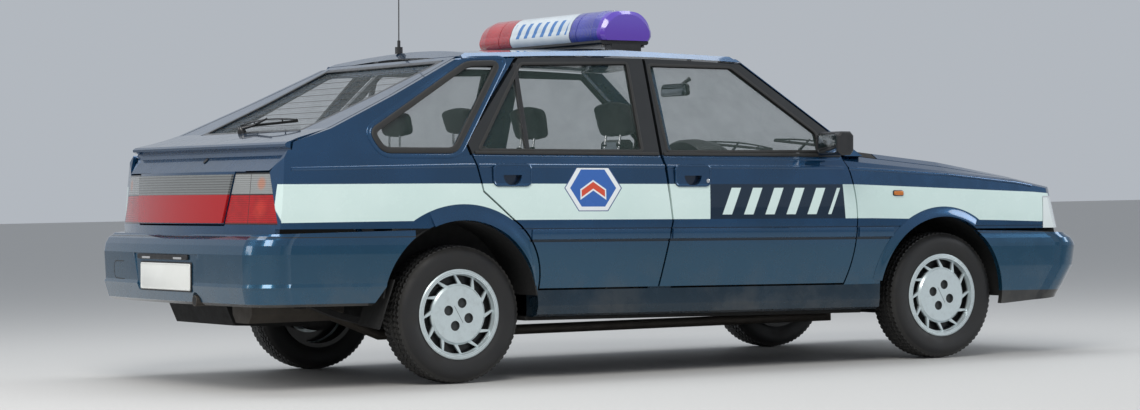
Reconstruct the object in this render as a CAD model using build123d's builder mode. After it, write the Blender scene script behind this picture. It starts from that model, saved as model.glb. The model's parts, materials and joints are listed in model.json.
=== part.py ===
"""Five-door liftback patrol car with a roof light bar, as an assembly of separate pieces.

Millimetres. +X is forward, +Y is the car's left, +Z is up. The origin is on the ground, midway between
the bumpers. The body is drawn level and then tipped nose-down by its rake; the wheels, axles and
steering are drawn straight in the ground frame. The right side is drawn and the left is its mirror image.
"""

import os
from collections import namedtuple
from math import cos, radians, sin

from build123d import *

# Overall sizes
LENGTH = 4330
WHEELBASE = 2509
REAR_OVERHANG = 1000
TRACK = 1332
HALF_WIDTH = 824.5
BODY_RAKE = 0.87
RAKE_HEIGHT = 600
TAIL_X = -LENGTH / 2
NOSE_X = LENGTH / 2
REAR_AXLE_X = TAIL_X + REAR_OVERHANG
FRONT_AXLE_X = REAR_AXLE_X + WHEELBASE

# Wheels
TYRE_RADIUS = 288
TYRE_WIDTH = 176
RIM_RADIUS = 184
HUB_RADIUS = 52

# Heights of the level body
SILL_BOTTOM = 254
SILL_TOP = 366
BULGE_Z = 620
CREASE_Z = 887
BELT_Z = 930
GUTTER_LIMIT = 1400
LEAN = 0.385
CABIN_HALF = 797

# Thicknesses and gaps
SKIN = 28
DOOR_DEPTH = 72
FRAME_DEPTH = 34
GLASS = 5
SEAM = 8
FRAME_SEAM = 14
HOOD_SEAM = 6
SEAT_GAP = 0.3

# Lean of the tail face and nose face, run over rise, and the bow of each in plan
TAIL_LEAN = 0.09
TAIL_BOW = 2856
TAIL_FACE_X = -2118
TAIL_FACE_Z = 644
NOSE_LEAN = -0.28
NOSE_FACE_Z = 610
SCREEN_RISE = 0.691
SCREEN_BOW = 2300
SCREEN_FOOT_X = 967
SCREEN_FOOT_Z = 961

# Wheel arches in the level body: centre x, centre z, radius
Arch = namedtuple("Arch", "x z radius")
REAR_ARCH = Arch(-1181, 297, 367)
FRONT_ARCH = Arch(1305, 320, 350)

# Body side from tail to nose: x, half width, inset of the shoulder, then the heights of the crease, the
# shoulder, the bonnet edge and the centreline
Station = namedtuple("Station", "x width tuck crease shoulder edge crown")
REAR_STATIONS = (
    Station(-2160, 800, 10, 865, BELT_Z, BELT_Z + 3, BELT_Z + 5),
    Station(-1900, 808, 12, 870, BELT_Z, BELT_Z + 3, BELT_Z + 5),
    Station(-1165, HALF_WIDTH, 27, CREASE_Z, BELT_Z, BELT_Z + 3, BELT_Z + 5),
    Station(-700, HALF_WIDTH, 27, CREASE_Z, BELT_Z, BELT_Z + 3, BELT_Z + 5),
)
FRONT_STATIONS = (
    Station(700, HALF_WIDTH, 27, CREASE_Z, 922, 978, 998),
    Station(1344, 812, 27, 859, 872, 915, 938),
    Station(1750, 797, 25, 824, 836, 852, 868),
    Station(2180, 770, 22, 755, 762, 770, 786),
)
DOOR_STATIONS = (
    Station(-1300, HALF_WIDTH, 27, CREASE_Z, BELT_Z, BELT_Z + 3, BELT_Z + 5),
    Station(1000, HALF_WIDTH, 27, CREASE_Z, BELT_Z, BELT_Z + 3, BELT_Z + 5),
)
BONNET_EDGE_Y = 700

# Glasshouse from tail to front: x, half width at the belt and at the gutter, then the heights of the
# gutter, the roof edge and the roof centreline
Hoop = namedtuple("Hoop", "x base top gutter edge crown")
ROOF_EDGE_INSET = 32
HOOPS = (
    Hoop(-2160, 795, 740, 1240, 1268, 1288),
    Hoop(-1165, CABIN_HALF, CABIN_HALF - LEAN * (1330 - BELT_Z), 1330, 1358, 1385),
    Hoop(-300, CABIN_HALF, CABIN_HALF - LEAN * (1364 - BELT_Z), 1364, 1392, 1419),
    Hoop(300, CABIN_HALF, CABIN_HALF - LEAN * (1350 - BELT_Z), 1350, 1376, 1402),
    Hoop(1100, CABIN_HALF, CABIN_HALF - LEAN * (1270 - BELT_Z), 1270, 1290, 1312),
)
GUTTER_ARC = ((-1300, 1322), (-300, 1364), (500, 1340))

# Side outlines in x and z. A plain point is the end of a line, and a pair of points is an arc through the
# first to the second.
FRAME_SPREAD = (FRAME_SEAM - SEAM) / 2
FRONT_DOOR = (
    (756, 370), ((815, 664), (752, 925)), (742, 985), (704, 1051), (238, GUTTER_LIMIT),
    (-188 + FRAME_SPREAD, GUTTER_LIMIT), (-201 + FRAME_SPREAD, 938), (-160, 652), (-219, 370),
)
REAR_DOOR = (
    (-219, 370), (-160, 652), (-201 - FRAME_SPREAD, 938), (-188 - FRAME_SPREAD, GUTTER_LIMIT),
    (-774, GUTTER_LIMIT), (-1142, 985), (-1088, 780), (-943, 661), ((-858, 575), (-814, 370)),
)
FRONT_WINDOW = ((-172, 1331), (-165, 950), (640, 957), (640, 1041), (258, 1329))
REAR_WINDOW = ((-812, 1322), (-1092, 951), (-290, 951), (-276, 1337))
QUARTER_WINDOW = ((-1573, 1021), (-1534, 950), (-1205, 951), (-925, 1318), (-1069, 1312))
REAR_SLOPE = ((-1000, 1391), (-1097, 1345), (-1447, 1176), (-1759, 1035), (-1952, 972))
QUARTER = (
    (-760, GUTTER_LIMIT), (-990, GUTTER_LIMIT), *REAR_SLOPE[1:], (-2012, 862), (-2200, 860),
    (-2200, 628), (-1181, 628), (-1181, SILL_TOP), (-790, SILL_TOP),
)
FENDER = (
    (700, 1000), (700, SILL_TOP), (1305, SILL_TOP), (1305, 612), (1900, 612), (1900, 760),
    (2060, 760), (2060, 1000),
)

# Bonnet between the wings
HOOD_HALF = 740
HOOD_REAR = 985

# Right-hand tail lamp from behind, in y and z, and the parts of the tailgate: its skin forward and down,
# half its plan in x and y, half its outline from behind in y and z, its lip in x and z, and its glass in plan
TAIL_LAMP = ((-444, 646), (-497, 856), (-716, 856), (-788, 646))
LAMP_DEPTH = 70
TAIL_WALL = 20
TAILGATE_SKIN = (26, 28)
TAILGATE_SIDE = ((-1094, 593), (-1447, 671), (-1759, 724), (-1900, 746), (-1950, 784), (-2200, 784))
TAILGATE_BACK = ((-800, 1500), (-800, 968), (-712, 864), (-489, 864), (-436, 648))
TAILGATE_LIP = ((-1962, 979), (-1974, 970), (-1972, 960), (-1947, 950), (-1956, 925), (-2012, 862))
REAR_GLASS = ((-1775, -500), (-1122, -552), (-1122, 552), (-1775, 500))
GARNISH_Z = (652, 850)

# Headlamps and grille
LAMP_LOW = 613
LAMP_HIGH = 753
LAMP_INNER = 470

# Bumpers, drawn as at the front: where the corner ends, half the width, the levels, and the top and bottom
# lines in x and z. A level gives how far the plan is pulled in at the end and tucked in at the side.
Level = namedtuple("Level", "z pull tuck")
Bumper = namedtuple("Bumper", "corner side levels top bottom")
BUMPER_BACK = 1400
BUMPER_WALL = 26
BUMPER_DROP = 18
REAR_BUMPER = Bumper(
    2135, 812,
    (
        Level(316, 38, 24), Level(328, 18, 10), Level(384, 3, 3), Level(394, 0, 0), Level(408, 6, 5),
        Level(526, 1, 1), Level(562, 8, 1), Level(586, 22, 3), Level(600, 42, 6), Level(626, 60, 8),
    ),
    ((1300, 623), (2040, 608), (2300, 600)), ((2300, 200), (1300, 200)),
)
FRONT_BUMPER = Bumper(
    2140, 796,
    (
        Level(255, 132, 8), Level(309, 106, 4), Level(346, 76, 3), Level(440, 14, 1), Level(530, 0, 0),
        Level(546, 4, 1), Level(568, 22, 3), Level(584, 52, 6), Level(608, 76, 9),
    ),
    ((1300, 606), (1900, 597), (2110, 586), (2300, 582)),
    ((2300, 300), (2045, 296), (1672, 267), (1300, 262)),
)
BUMPER_TOP = REAR_BUMPER.top[0][1]
BUMPER_SLANT = ((-1300, 480), (-1470, 480), (-1594, 312), (-1594, 200), (-1300, 200))
PLATE_RECESS = ((-330, 524), (330, 524), (284, 366), (-284, 366))
PLATE_RECESS_X = -2153

# Grooves above and below the rub strip along the side
RUB_LINES = (571, 624)
RUB_SLOT = 5
RUB_DEPTH = 5

# Door handles: a plate with a half-moon finger recess
HANDLES = ((-953, 848), (-60, 848))
HANDLE_SIZE = (182, 94)
HANDLE_ROUND = 26
HANDLE_PROUD = 5
GRIP_RADIUS = 44
GRIP_DEPTH = 20

# Drip rail along the roof
RAIL_DEPTH = 8
RAIL_HEIGHT = 14

# Floor and wheel houses
FLOOR_Z = 236
FLOOR_THICKNESS = 14
FLOOR_FRONT = 904
FLOOR_REAR = -820
FLOOR_HALF = 699.7
TUNNEL_HALF = 120
TUNNEL_TOP = 376
BOOT_FLOOR_Z = 432
HOUSE_INNER = 556
REAR_HOUSE = REAR_ARCH.radius - SEAT_GAP
FRONT_HOUSE = Arch(1330, 313, 358)
FRONT_HOUSE_INNER = 408
HOUSE_WALL = 7

# Front seats
SEAT_Y = 378
SEAT_WIDTH = 440

# Roof light bar: its tray, and half the outline of the domes across the bar, as a foot, a side and a top
BAR_X = -220
BAR_HALF = 552
BAR_JOINT = 345
BAR_CAP = 474
BAR_TRAY_Z = (1422, 1438)
BAR_TRAY_HALF = 122
BAR_FOOT_Y = 515
DOME_FOOT = (124, BAR_TRAY_Z[1] + SEAT_GAP)
DOME_SIDE = ((138, 1464), (132, 1492))
DOME_TOP = ((104, 1546), (66, 1569), (0, 1575))
CAP_PULL = 22

# Engine, cross-member and exhaust, in the ground frame
CROSSMEMBER_TOP = 262
ENGINE_BOX = (1010, 1520, -235, 235, CROSSMEMBER_TOP + SEAT_GAP, 760)
PIPE_RADIUS = 22
PIPE_Z = 184
TAILPIPE = (-300, 366)
TAILPIPE_END = -2112
SILENCER_BACK = -1960
PIPE_NOTCH = 34

# Axles, springs and steering, in the ground frame
HUB_FACE = TRACK / 2 - 38
SPRING_Y = 505
SPRING_FRONT = 310
SPRING_REAR = 600
KINGPIN_Y = TRACK / 2 - 81
KINGPIN_LEAN = 0.2
STRUT_TOP = 646.1

# Tyre section from bead to tread, as radius and offset
TYRE_PROFILE = (
    (RIM_RADIUS - 6, 70), (240, TYRE_WIDTH / 2), (278, TYRE_WIDTH / 2 - 14),
    (TYRE_RADIUS, TYRE_WIDTH / 2 - 36),
)

# Wheel cover: a bevelled disc with bolt pockets, leaning blades and an outer flange
COVER_BACK = 18
OPENING_FLOOR = 30
DISC_RADIUS = 118
DISC_FOOT = 126
DISC_FACE = 72
BLADE_FACE = 64
BLADES = 12
BLADE_LEAN = 30
BLADE_ROOT = 15
BLADE_TIP = 7
OPENING_RADIUS = 163
FLANGE_RADIUS = 168
FLANGE_FACE = 80
BOLT_CIRCLE = 50
BOLT_ANGLE = 70
BOLT_POCKET = 21
BOLT_DEPTH = 14
SLOT_LENGTH = 82
SLOT_ANGLE = -61

RAKE = Pos(0, 0, RAKE_HEIGHT) * Rot(0, BODY_RAKE, 0) * Pos(0, 0, -RAKE_HEIGHT)


def level_x(x, z):
    """The x in the level body of a point that is given in the ground frame."""
    return x * cos(radians(BODY_RAKE)) - (z - RAKE_HEIGHT) * sin(radians(BODY_RAKE))


def level_z(x, z):
    """The height in the level body of a point that is given in the ground frame."""
    return RAKE_HEIGHT + (z - RAKE_HEIGHT) * cos(radians(BODY_RAKE)) + x * sin(radians(BODY_RAKE))


def both_halves(points):
    """A half outline given by its right-hand points, closed by their mirror image."""
    return (*points, *[(-a, b) for a, b in reversed(points)])


def outline(steps, plane=Plane.XZ, grow=0):
    """A face from a list of steps on a plane, grown or shrunk by a margin."""
    with BuildSketch(plane) as face:
        with BuildLine():
            here = steps[0]
            for step in (*steps[1:], steps[0]):
                if isinstance(step[0], tuple):
                    ThreePointArc(here, step[0], step[1])
                    here = step[1]
                else:
                    Line(here, step)
                    here = step
        make_face()
        if grow:
            offset(amount=grow)
    return face.sketch


def side_prism(steps, near=0, far=900, grow=0):
    """A side outline pushed through the right half of the body, from y = -near to y = -far."""
    with BuildPart() as prism:
        with BuildSketch(Plane.XZ.offset(near)):
            add(outline(steps, Plane.XY, grow))
        extrude(amount=far - near)
    return prism.part


def block(x0, x1, y0, y1, z0, z1):
    """A plain box between two corners."""
    with BuildPart() as box:
        with Locations(((x0 + x1) / 2, (y0 + y1) / 2, (z0 + z1) / 2)):
            Box(abs(x1 - x0), abs(y1 - y0), abs(z1 - z0))
    return box.part


def arch_plug(arch, near=0, far=900, grow=0):
    """The round plug that opens a wheel arch on the right side."""
    with BuildPart() as plug:
        with BuildSketch(Plane.XZ.offset(near)):
            with Locations((arch.x, arch.z)):
                Circle(arch.radius + grow)
        extrude(amount=far - near)
    return plug.part


def body_lower(stations):
    """The body below the belt as one closed form, with a bulged side, a crease and a crowned top."""
    with BuildPart() as body:
        for s in stations:
            w = s.width
            with BuildSketch(Plane.YZ.offset(s.x)):
                with BuildLine():
                    Line((-w + 26, 240), (w - 26, 240))
                    Line((w - 26, 240), (w - 26, SILL_TOP))
                    ThreePointArc((w - 26, SILL_TOP), (w, BULGE_Z), (w - 5, s.crease))
                    Line((w - 5, s.crease), (w - s.tuck, s.shoulder))
                    Line((w - s.tuck, s.shoulder), (BONNET_EDGE_Y, s.edge))
                    ThreePointArc((BONNET_EDGE_Y, s.edge), (0, s.crown), (-BONNET_EDGE_Y, s.edge))
                    Line((-BONNET_EDGE_Y, s.edge), (-w + s.tuck, s.shoulder))
                    Line((-w + s.tuck, s.shoulder), (-w + 5, s.crease))
                    ThreePointArc((-w + 5, s.crease), (-w, BULGE_Z), (-w + 26, SILL_TOP))
                    Line((-w + 26, SILL_TOP), (-w + 26, 240))
                make_face()
        loft(ruled=True)
    return body.part


def body_lower_core(stations, top_open, skin=SKIN):
    """The space inside the lower body: flat sides one skin in, open above or closed under the bonnet."""
    with BuildPart() as core:
        for s in stations:
            w = s.width - skin
            lift = 60 if top_open else -SKIN
            with BuildSketch(Plane.YZ.offset(s.x)):
                Polygon(
                    (-w + 24, 200), (w - 24, 200), (w, BULGE_Z), (w - 4, s.crease - 8),
                    (w - s.tuck, s.shoulder + lift), (BONNET_EDGE_Y - 10, s.edge + lift),
                    (0, s.crown + lift), (-BONNET_EDGE_Y + 10, s.edge + lift),
                    (-w + s.tuck, s.shoulder + lift), (-w + 4, s.crease - 8), (-w, BULGE_Z),
                    align=None,
                )
        loft(ruled=True)
    return core.part


def glasshouse(inset=0, drop=0):
    """The cabin above the belt as one closed form, before the screens cut it."""
    with BuildPart() as house:
        for h in HOOPS:
            base = h.base - inset
            top = h.top - inset
            edge = top - ROOF_EDGE_INSET
            with BuildSketch(Plane.YZ.offset(h.x)):
                with BuildLine():
                    Polyline(
                        (-top, h.gutter - drop), (-base, BELT_Z), (-base, 860), (base, 860),
                        (base, BELT_Z), (top, h.gutter - drop), (edge, h.edge - drop),
                    )
                    ThreePointArc(
                        (edge, h.edge - drop), (0, h.crown - drop), (-edge, h.edge - drop)
                    )
                    Line((-edge, h.edge - drop), (-top, h.gutter - drop))
                make_face()
        loft(ruled=True)
    return house.part


def bowed_prism(x, z, lean, bow, inset=0):
    """Everything on the cabin's side of a leaning face that is bowed in plan.

    The face passes x at height z on the centreline. A positive bow faces backward, a negative one forward.
    """
    low = 150
    height = 1350
    here = x + inset + (low - z) * lean
    side = 870
    sag = side * side / (2 * bow)
    far = 6000 if bow > 0 else -6000
    with BuildPart() as prism:
        with BuildSketch(Plane.XY.offset(low)):
            with BuildLine():
                ThreePointArc((here + sag, -side), (here, 0), (here + sag, side))
                Polyline((here + sag, side), (here + far, side), (here + far, -side), (here + sag, -side))
            make_face()
        extrude(amount=height * (1 + lean * lean) ** 0.5, dir=(lean, 0, 1))
    return prism.part


def tail_prism(inset=0):
    return bowed_prism(TAIL_FACE_X, TAIL_FACE_Z, TAIL_LEAN, TAIL_BOW, inset)


def screen_prism(inset=0):
    return bowed_prism(SCREEN_FOOT_X, SCREEN_FOOT_Z, -1 / SCREEN_RISE, -SCREEN_BOW, -inset)


def nose_prism(inset=0):
    """Everything behind the nose: nearly straight across, with the corners swept back."""
    low = 150
    shift = (low - NOSE_FACE_Z) * NOSE_LEAN - inset
    with BuildPart() as prism:
        with BuildSketch(Plane.XY.offset(low)):
            with BuildLine():
                ThreePointArc((2056 + shift, -690), (2092 + shift, 0), (2056 + shift, 690))
                ThreePointArc((2056 + shift, 690), (1998 + shift, 765), (1880 + shift, 812))
                Polyline(
                    (1880 + shift, 812), (1500 + shift, 900), (0, 900), (0, -900), (1500 + shift, -900),
                    (1880 + shift, -812),
                )
                ThreePointArc((1880 + shift, -812), (1998 + shift, -765), (2056 + shift, -690))
            make_face()
        extrude(amount=900 * (1 + NOSE_LEAN * NOSE_LEAN) ** 0.5, dir=(NOSE_LEAN, 0, 1))
    return prism.part


def under_gutter(gap=0):
    """Everything below the gutter line, over the whole width."""
    (x0, z0), (x1, z1), (x2, z2) = GUTTER_ARC
    steps = (
        (-2300, 0), (-2300, 1230 - gap), (x0, z0 - gap), ((x1, z1 - gap), (x2, z2 - gap)),
        (1400, 1200 - gap), (1400, 0),
    )
    with BuildPart() as under:
        with BuildSketch(Plane.XZ):
            add(outline(steps, Plane.XY))
        extrude(amount=900, both=True)
    return under.part


def under_slope(drop=0, tail=(REAR_SLOPE[-1], (-2012, 862))):
    """Everything below the line from the roof down over the back, over the whole width."""
    steps = (
        *[(x, z - drop) for x, z in (*REAR_SLOPE[:-1], *tail)], (-2300, 860 - drop), (-2300, 100),
        (1500, 100), (1500, 1500), (-1000, 1500),
    )
    with BuildPart() as under:
        with BuildSketch(Plane.XZ):
            add(outline(steps, Plane.XY))
        extrude(amount=900, both=True)
    return under.part


def both_sides(part):
    """A right-hand piece and its mirror image."""
    with BuildPart() as pair:
        add(part)
        mirror(part, about=Plane.XZ)
    return pair.part


def left_of(part):
    """The left-hand twin of a right-hand piece."""
    with BuildPart() as left:
        mirror(part, about=Plane.XZ)
    return left.part


LOWER_REAR = body_lower(REAR_STATIONS)
LOWER_FRONT = body_lower(FRONT_STATIONS)
CORE_REAR = body_lower_core(REAR_STATIONS, True)
CORE_FRONT = body_lower_core(FRONT_STATIONS, False)
CABIN = glasshouse()
CABIN_CORE = glasshouse(FRAME_DEPTH, SKIN)
UNDER_GUTTER = under_gutter()
UNDER_SLOPE = under_slope()
TAIL = tail_prism()
SCREEN = screen_prism()
NOSE = nose_prism()


def groove_room(stations):
    """The slots that mark the rub strip, cut to one depth into the right-hand side."""
    narrow = tuple(s._replace(width=s.width - RUB_DEPTH) for s in stations)
    with BuildPart() as room:
        for z in RUB_LINES:
            add(block(stations[0].x, stations[-1].x, -900, -600, z - RUB_SLOT / 2, z + RUB_SLOT / 2))
        add(body_lower(narrow), mode=Mode.SUBTRACT)
    return room.part


def handle_plate():
    """The rounded plates of the right-hand door handles, one on each door."""
    width, height = HANDLE_SIZE
    with BuildPart() as plate:
        with BuildSketch(Plane.XZ.offset(HALF_WIDTH - GRIP_DEPTH)):
            with Locations(*HANDLES):
                RectangleRounded(width, height, HANDLE_ROUND)
        extrude(amount=GRIP_DEPTH + HANDLE_PROUD)
    return plate.part


def handle_grip():
    """The half-moon recesses behind the pulls of both handles."""
    with BuildPart() as grip:
        with BuildSketch(Plane.XZ.offset(HALF_WIDTH - GRIP_DEPTH)):
            with Locations(*HANDLES):
                Circle(GRIP_RADIUS)
            with Locations(*[(x, z + GRIP_RADIUS) for x, z in HANDLES]):
                Rectangle(2 * GRIP_RADIUS, 2 * GRIP_RADIUS, mode=Mode.SUBTRACT)
        extrude(amount=GRIP_DEPTH + 2 * HANDLE_PROUD)
    return grip.part


def door(steps, window):
    """A right-hand door: its whole depth below the belt, a thin frame above it, and the window opening."""
    sill = SILL_TOP + SEAM / 2
    lean_top = CABIN_HALF - LEAN * (GUTTER_LIMIT + 20 - BELT_Z)
    inner = -HALF_WIDTH + DOOR_DEPTH
    with BuildPart() as panel:
        with BuildSketch(Plane.YZ.offset(DOOR_STATIONS[0].x)):
            with BuildLine():
                ThreePointArc((-HALF_WIDTH + 26, sill), (-HALF_WIDTH, BULGE_Z), (-HALF_WIDTH + 5, CREASE_Z))
                Polyline(
                    (-HALF_WIDTH + 5, CREASE_Z), (-CABIN_HALF, BELT_Z), (-lean_top, GUTTER_LIMIT + 20),
                    (-lean_top + FRAME_DEPTH, GUTTER_LIMIT + 20), (-CABIN_HALF + FRAME_DEPTH, BELT_Z),
                    (inner, BELT_Z - 16), (inner, sill), (-HALF_WIDTH + 26, sill),
                )
            make_face()
        extrude(amount=DOOR_STATIONS[-1].x - DOOR_STATIONS[0].x)
        add(groove_room(DOOR_STATIONS), mode=Mode.SUBTRACT)
        add(handle_plate())
        add(handle_grip(), mode=Mode.SUBTRACT)
        add(side_prism(steps, 500, 900, -SEAM / 2), mode=Mode.INTERSECT)
        add(under_gutter(SEAM), mode=Mode.INTERSECT)
        add(side_prism(window, 500, 900), mode=Mode.SUBTRACT)
    return panel.part


def pane(window, depth=14):
    """The glass of a right-hand window: a flat pane set a little inside the lean of the cabin side."""
    outer = CABIN_HALF - depth
    low_z = BELT_Z
    high_z = GUTTER_LIMIT
    step = LEAN * (high_z - low_z)
    with BuildPart() as glass:
        with BuildSketch(Plane.YZ.offset(-1700)):
            Polygon(
                (-outer, low_z), (-outer + step, high_z), (-outer + step + GLASS, high_z),
                (-outer + GLASS, low_z),
                align=None,
            )
        extrude(amount=2500)
        add(side_prism(window, 500, 900, -SEAT_GAP), mode=Mode.INTERSECT)
    return glass.part


def door_mirror():
    """The mirror pod on a foot at the front corner of the right-hand front window."""
    with BuildPart() as pod:
        with BuildSketch(Plane.XZ.offset(CABIN_HALF + 35)):
            with Locations((628, 990)):
                Rectangle(84, 104)
        extrude(amount=168)
        chamfer(pod.edges().filter_by(Axis.Y), 18)
        chamfer(pod.faces().sort_by(Axis.Y)[0].edges(), 7)
        with BuildSketch(Plane.XZ.offset(CABIN_HALF - 25)):
            with Locations((655, 966)):
                Rectangle(56, 30)
        extrude(amount=64)
        add(Pos(0, -SEAT_GAP, 0) * CABIN, mode=Mode.SUBTRACT)
    return pod.part


def gutter_rail():
    """The drip rails that stand out along both edges of the roof."""
    with BuildPart() as rail:
        add(glasshouse(-RAIL_DEPTH))
        add(CABIN, mode=Mode.SUBTRACT)
        add(block(-1088, 900, -900, 900, 1200, 1500), mode=Mode.INTERSECT)
        add(under_gutter(-RAIL_HEIGHT), mode=Mode.INTERSECT)
        add(UNDER_GUTTER, mode=Mode.SUBTRACT)
        add(SCREEN, mode=Mode.INTERSECT)
    return rail.part


def roof_panel():
    """The roof skin with its side rails, from the windscreen to the tailgate seam."""
    with BuildPart() as roof:
        add(CABIN)
        add(CABIN_CORE, mode=Mode.SUBTRACT)
        add(block(-1088, 900, -900, 900, 1200, 1500), mode=Mode.INTERSECT)
        add(screen_prism(GLASS + SEAT_GAP + 4), mode=Mode.INTERSECT)
        add(UNDER_SLOPE, mode=Mode.INTERSECT)
        add(UNDER_GUTTER, mode=Mode.SUBTRACT)
        add(gutter_rail())
    return roof.part


def rear_cheek():
    """The right-hand C-pillar above the belt, set back from the frame of the rear door."""
    with BuildPart() as cheek:
        add(CABIN)
        add(glasshouse(FRAME_DEPTH), mode=Mode.SUBTRACT)
        add(block(-2200, -600, -900, -500, BELT_Z - 1, 1500), mode=Mode.INTERSECT)
        add(UNDER_GUTTER, mode=Mode.INTERSECT)
        add(side_prism(REAR_DOOR, 500, 900, FRAME_SEAM - SEAM / 2), mode=Mode.SUBTRACT)
    return cheek.part


def tail_corner():
    """The right-hand corner of the tail, between the lamp, the tailgate and the body side."""
    with BuildPart() as corner:
        add(TAIL)
        add(tail_prism(TAIL_WALL), mode=Mode.SUBTRACT)
        add(CORE_REAR, mode=Mode.INTERSECT)
        add(block(-2200, -1900, -900, -700, 650, 960), mode=Mode.INTERSECT)
        add(UNDER_SLOPE, mode=Mode.INTERSECT)
        add(tailgate_back(SEAM), mode=Mode.SUBTRACT)
    return corner.part


def quarter_panels():
    """The rear wings with the C-pillars, each with its window opening and wheel arch."""
    cheek = rear_cheek()
    corner = tail_corner()
    with BuildPart() as panel:
        add(LOWER_REAR)
        add(CORE_REAR, mode=Mode.SUBTRACT)
        add(block(-2200, -600, -900, -500, 200, BELT_Z - 1), mode=Mode.INTERSECT)
        add(cheek)
        add(side_prism(QUARTER, 500), mode=Mode.INTERSECT)
        add(UNDER_SLOPE, mode=Mode.INTERSECT)
        add(TAIL, mode=Mode.INTERSECT)
        add(tailgate_bounds(SEAM), mode=Mode.SUBTRACT)
        add(corner)
        add(side_prism(REAR_DOOR, 500, 900, SEAM / 2), mode=Mode.SUBTRACT)
        add(arch_plug(REAR_ARCH), mode=Mode.SUBTRACT)
        add(side_prism(QUARTER_WINDOW, 500), mode=Mode.SUBTRACT)
        add(lamp_prism(SEAT_GAP), mode=Mode.SUBTRACT)
        add(groove_room(REAR_STATIONS), mode=Mode.SUBTRACT)
    return both_sides(panel.part)


def front_fenders():
    """The front wings: one skin, with the wheel arch and the door seam cut out."""
    with BuildPart() as wing:
        add(LOWER_FRONT)
        add(CORE_FRONT, mode=Mode.SUBTRACT)
        add(side_prism(FENDER, HOOD_HALF + HOOD_SEAM), mode=Mode.INTERSECT)
        add(NOSE, mode=Mode.INTERSECT)
        add(side_prism(FRONT_DOOR, 500, 900, SEAM / 2), mode=Mode.SUBTRACT)
        add(arch_plug(FRONT_ARCH), mode=Mode.SUBTRACT)
        add(groove_room(FRONT_STATIONS), mode=Mode.SUBTRACT)
    return both_sides(wing.part)


def hood():
    """The bonnet: a crowned slab between the wings, from the cowl to the nose."""
    with BuildPart() as lid:
        add(LOWER_FRONT)
        add(Pos(0, 0, -SKIN + 4) * LOWER_FRONT, mode=Mode.SUBTRACT)
        add(block(HOOD_REAR, 2200, -HOOD_HALF, HOOD_HALF, 650, 1100), mode=Mode.INTERSECT)
        add(nose_prism(2), mode=Mode.INTERSECT)
    return lid.part


def windscreen():
    """The bowed windscreen, bounded by the pillars, the cowl and the roof edge."""
    with BuildPart() as glass:
        add(SCREEN)
        add(screen_prism(GLASS / 0.568), mode=Mode.SUBTRACT)
        with BuildSketch(Plane.YZ.offset(200)):
            with BuildLine():
                Polyline((-564, 1356), (-710, 975), (710, 975), (564, 1356))
                ThreePointArc((564, 1356), (0, 1378), (-564, 1356))
            make_face()
        extrude(amount=1000, mode=Mode.INTERSECT)
    return glass.part


def fixed_glass():
    with BuildPart() as glass:
        add(windscreen())
        add(both_sides(pane(QUARTER_WINDOW)))
    return glass.part


def lamp_prism(grow=0):
    """The outline of the right-hand tail lamp pushed forward from behind the tail."""
    with BuildPart() as prism:
        with BuildSketch(Plane.YZ.offset(-2250)):
            Polygon(*TAIL_LAMP, align=None)
            if grow:
                offset(amount=grow)
        extrude(amount=330)
    return prism.part


def tail_lamps():
    with BuildPart() as lamp:
        add(lamp_prism())
        add(TAIL, mode=Mode.INTERSECT)
        add(tail_prism(LAMP_DEPTH), mode=Mode.SUBTRACT)
    return both_sides(lamp.part)


def tailgate_form(surface):
    """The outside of the tail down to the bumper under a given top surface, before it is hollowed."""
    with BuildPart() as form:
        add(surface)
        add(TAIL, mode=Mode.INTERSECT)
        add(block(-2200, -1000, -900, 900, 560, 1500), mode=Mode.INTERSECT)
    return form.part


def tailgate_back(grow=0):
    """The outline of the tailgate from behind, pushed forward through the tail."""
    with BuildPart() as back:
        with BuildSketch(Plane.YZ.offset(-2300)):
            Polygon(*both_halves(TAILGATE_BACK), align=None)
            if grow:
                offset(amount=grow)
        extrude(amount=1400)
    return back.part


def tailgate_bounds(grow=0):
    """What the tailgate may fill: between the C-pillars above the lamps, and between the lamps.

    Its sides are upright, because the pillars lean in above them and the tailgate lifts straight past.
    """
    with BuildPart() as bounds:
        with BuildSketch(Plane.XY.offset(600)):
            Polygon(*TAILGATE_SIDE, *[(x, -y) for x, y in reversed(TAILGATE_SIDE)], align=None)
            if grow:
                offset(amount=grow)
        extrude(amount=900)
        add(tailgate_back(grow), mode=Mode.INTERSECT)
    return bounds.part


def tailgate():
    """One panel from the roof seam over the glass and the overhanging lip down between the lamps."""
    outside = tailgate_form(under_slope(0, TAILGATE_LIP))
    inside = tailgate_form(UNDER_SLOPE)
    with BuildPart() as gate:
        add(outside)
        add(Pos(TAILGATE_SKIN[0], 0, -TAILGATE_SKIN[1]) * inside, mode=Mode.SUBTRACT)
        add(tailgate_bounds(), mode=Mode.INTERSECT)
        with BuildSketch(Plane.XY.offset(850)):
            Polygon(*REAR_GLASS, align=None)
        extrude(amount=700, mode=Mode.SUBTRACT)
    return gate.part


def tailgate_glass():
    """The rear window, flat across and following the slope of the tailgate, set in its opening."""
    with BuildPart() as glass:
        add(Pos(0, 0, -6) * UNDER_SLOPE)
        add(Pos(0, 0, -6 - GLASS) * UNDER_SLOPE, mode=Mode.SUBTRACT)
        with BuildSketch(Plane.XY.offset(850)):
            Polygon(*REAR_GLASS, align=None)
            offset(amount=-SEAT_GAP)
        extrude(amount=700, mode=Mode.INTERSECT)
    return glass.part


def tailgate_garnish():
    """The ribbed panel between the lamps."""
    with BuildPart() as garnish:
        add(tail_prism(-10))
        add(tail_prism(-SEAT_GAP), mode=Mode.SUBTRACT)
        add(block(-2200, -2000, -500, 500, *GARNISH_Z), mode=Mode.INTERSECT)
        add(tailgate_back(-2), mode=Mode.INTERSECT)
    return garnish.part


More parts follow.
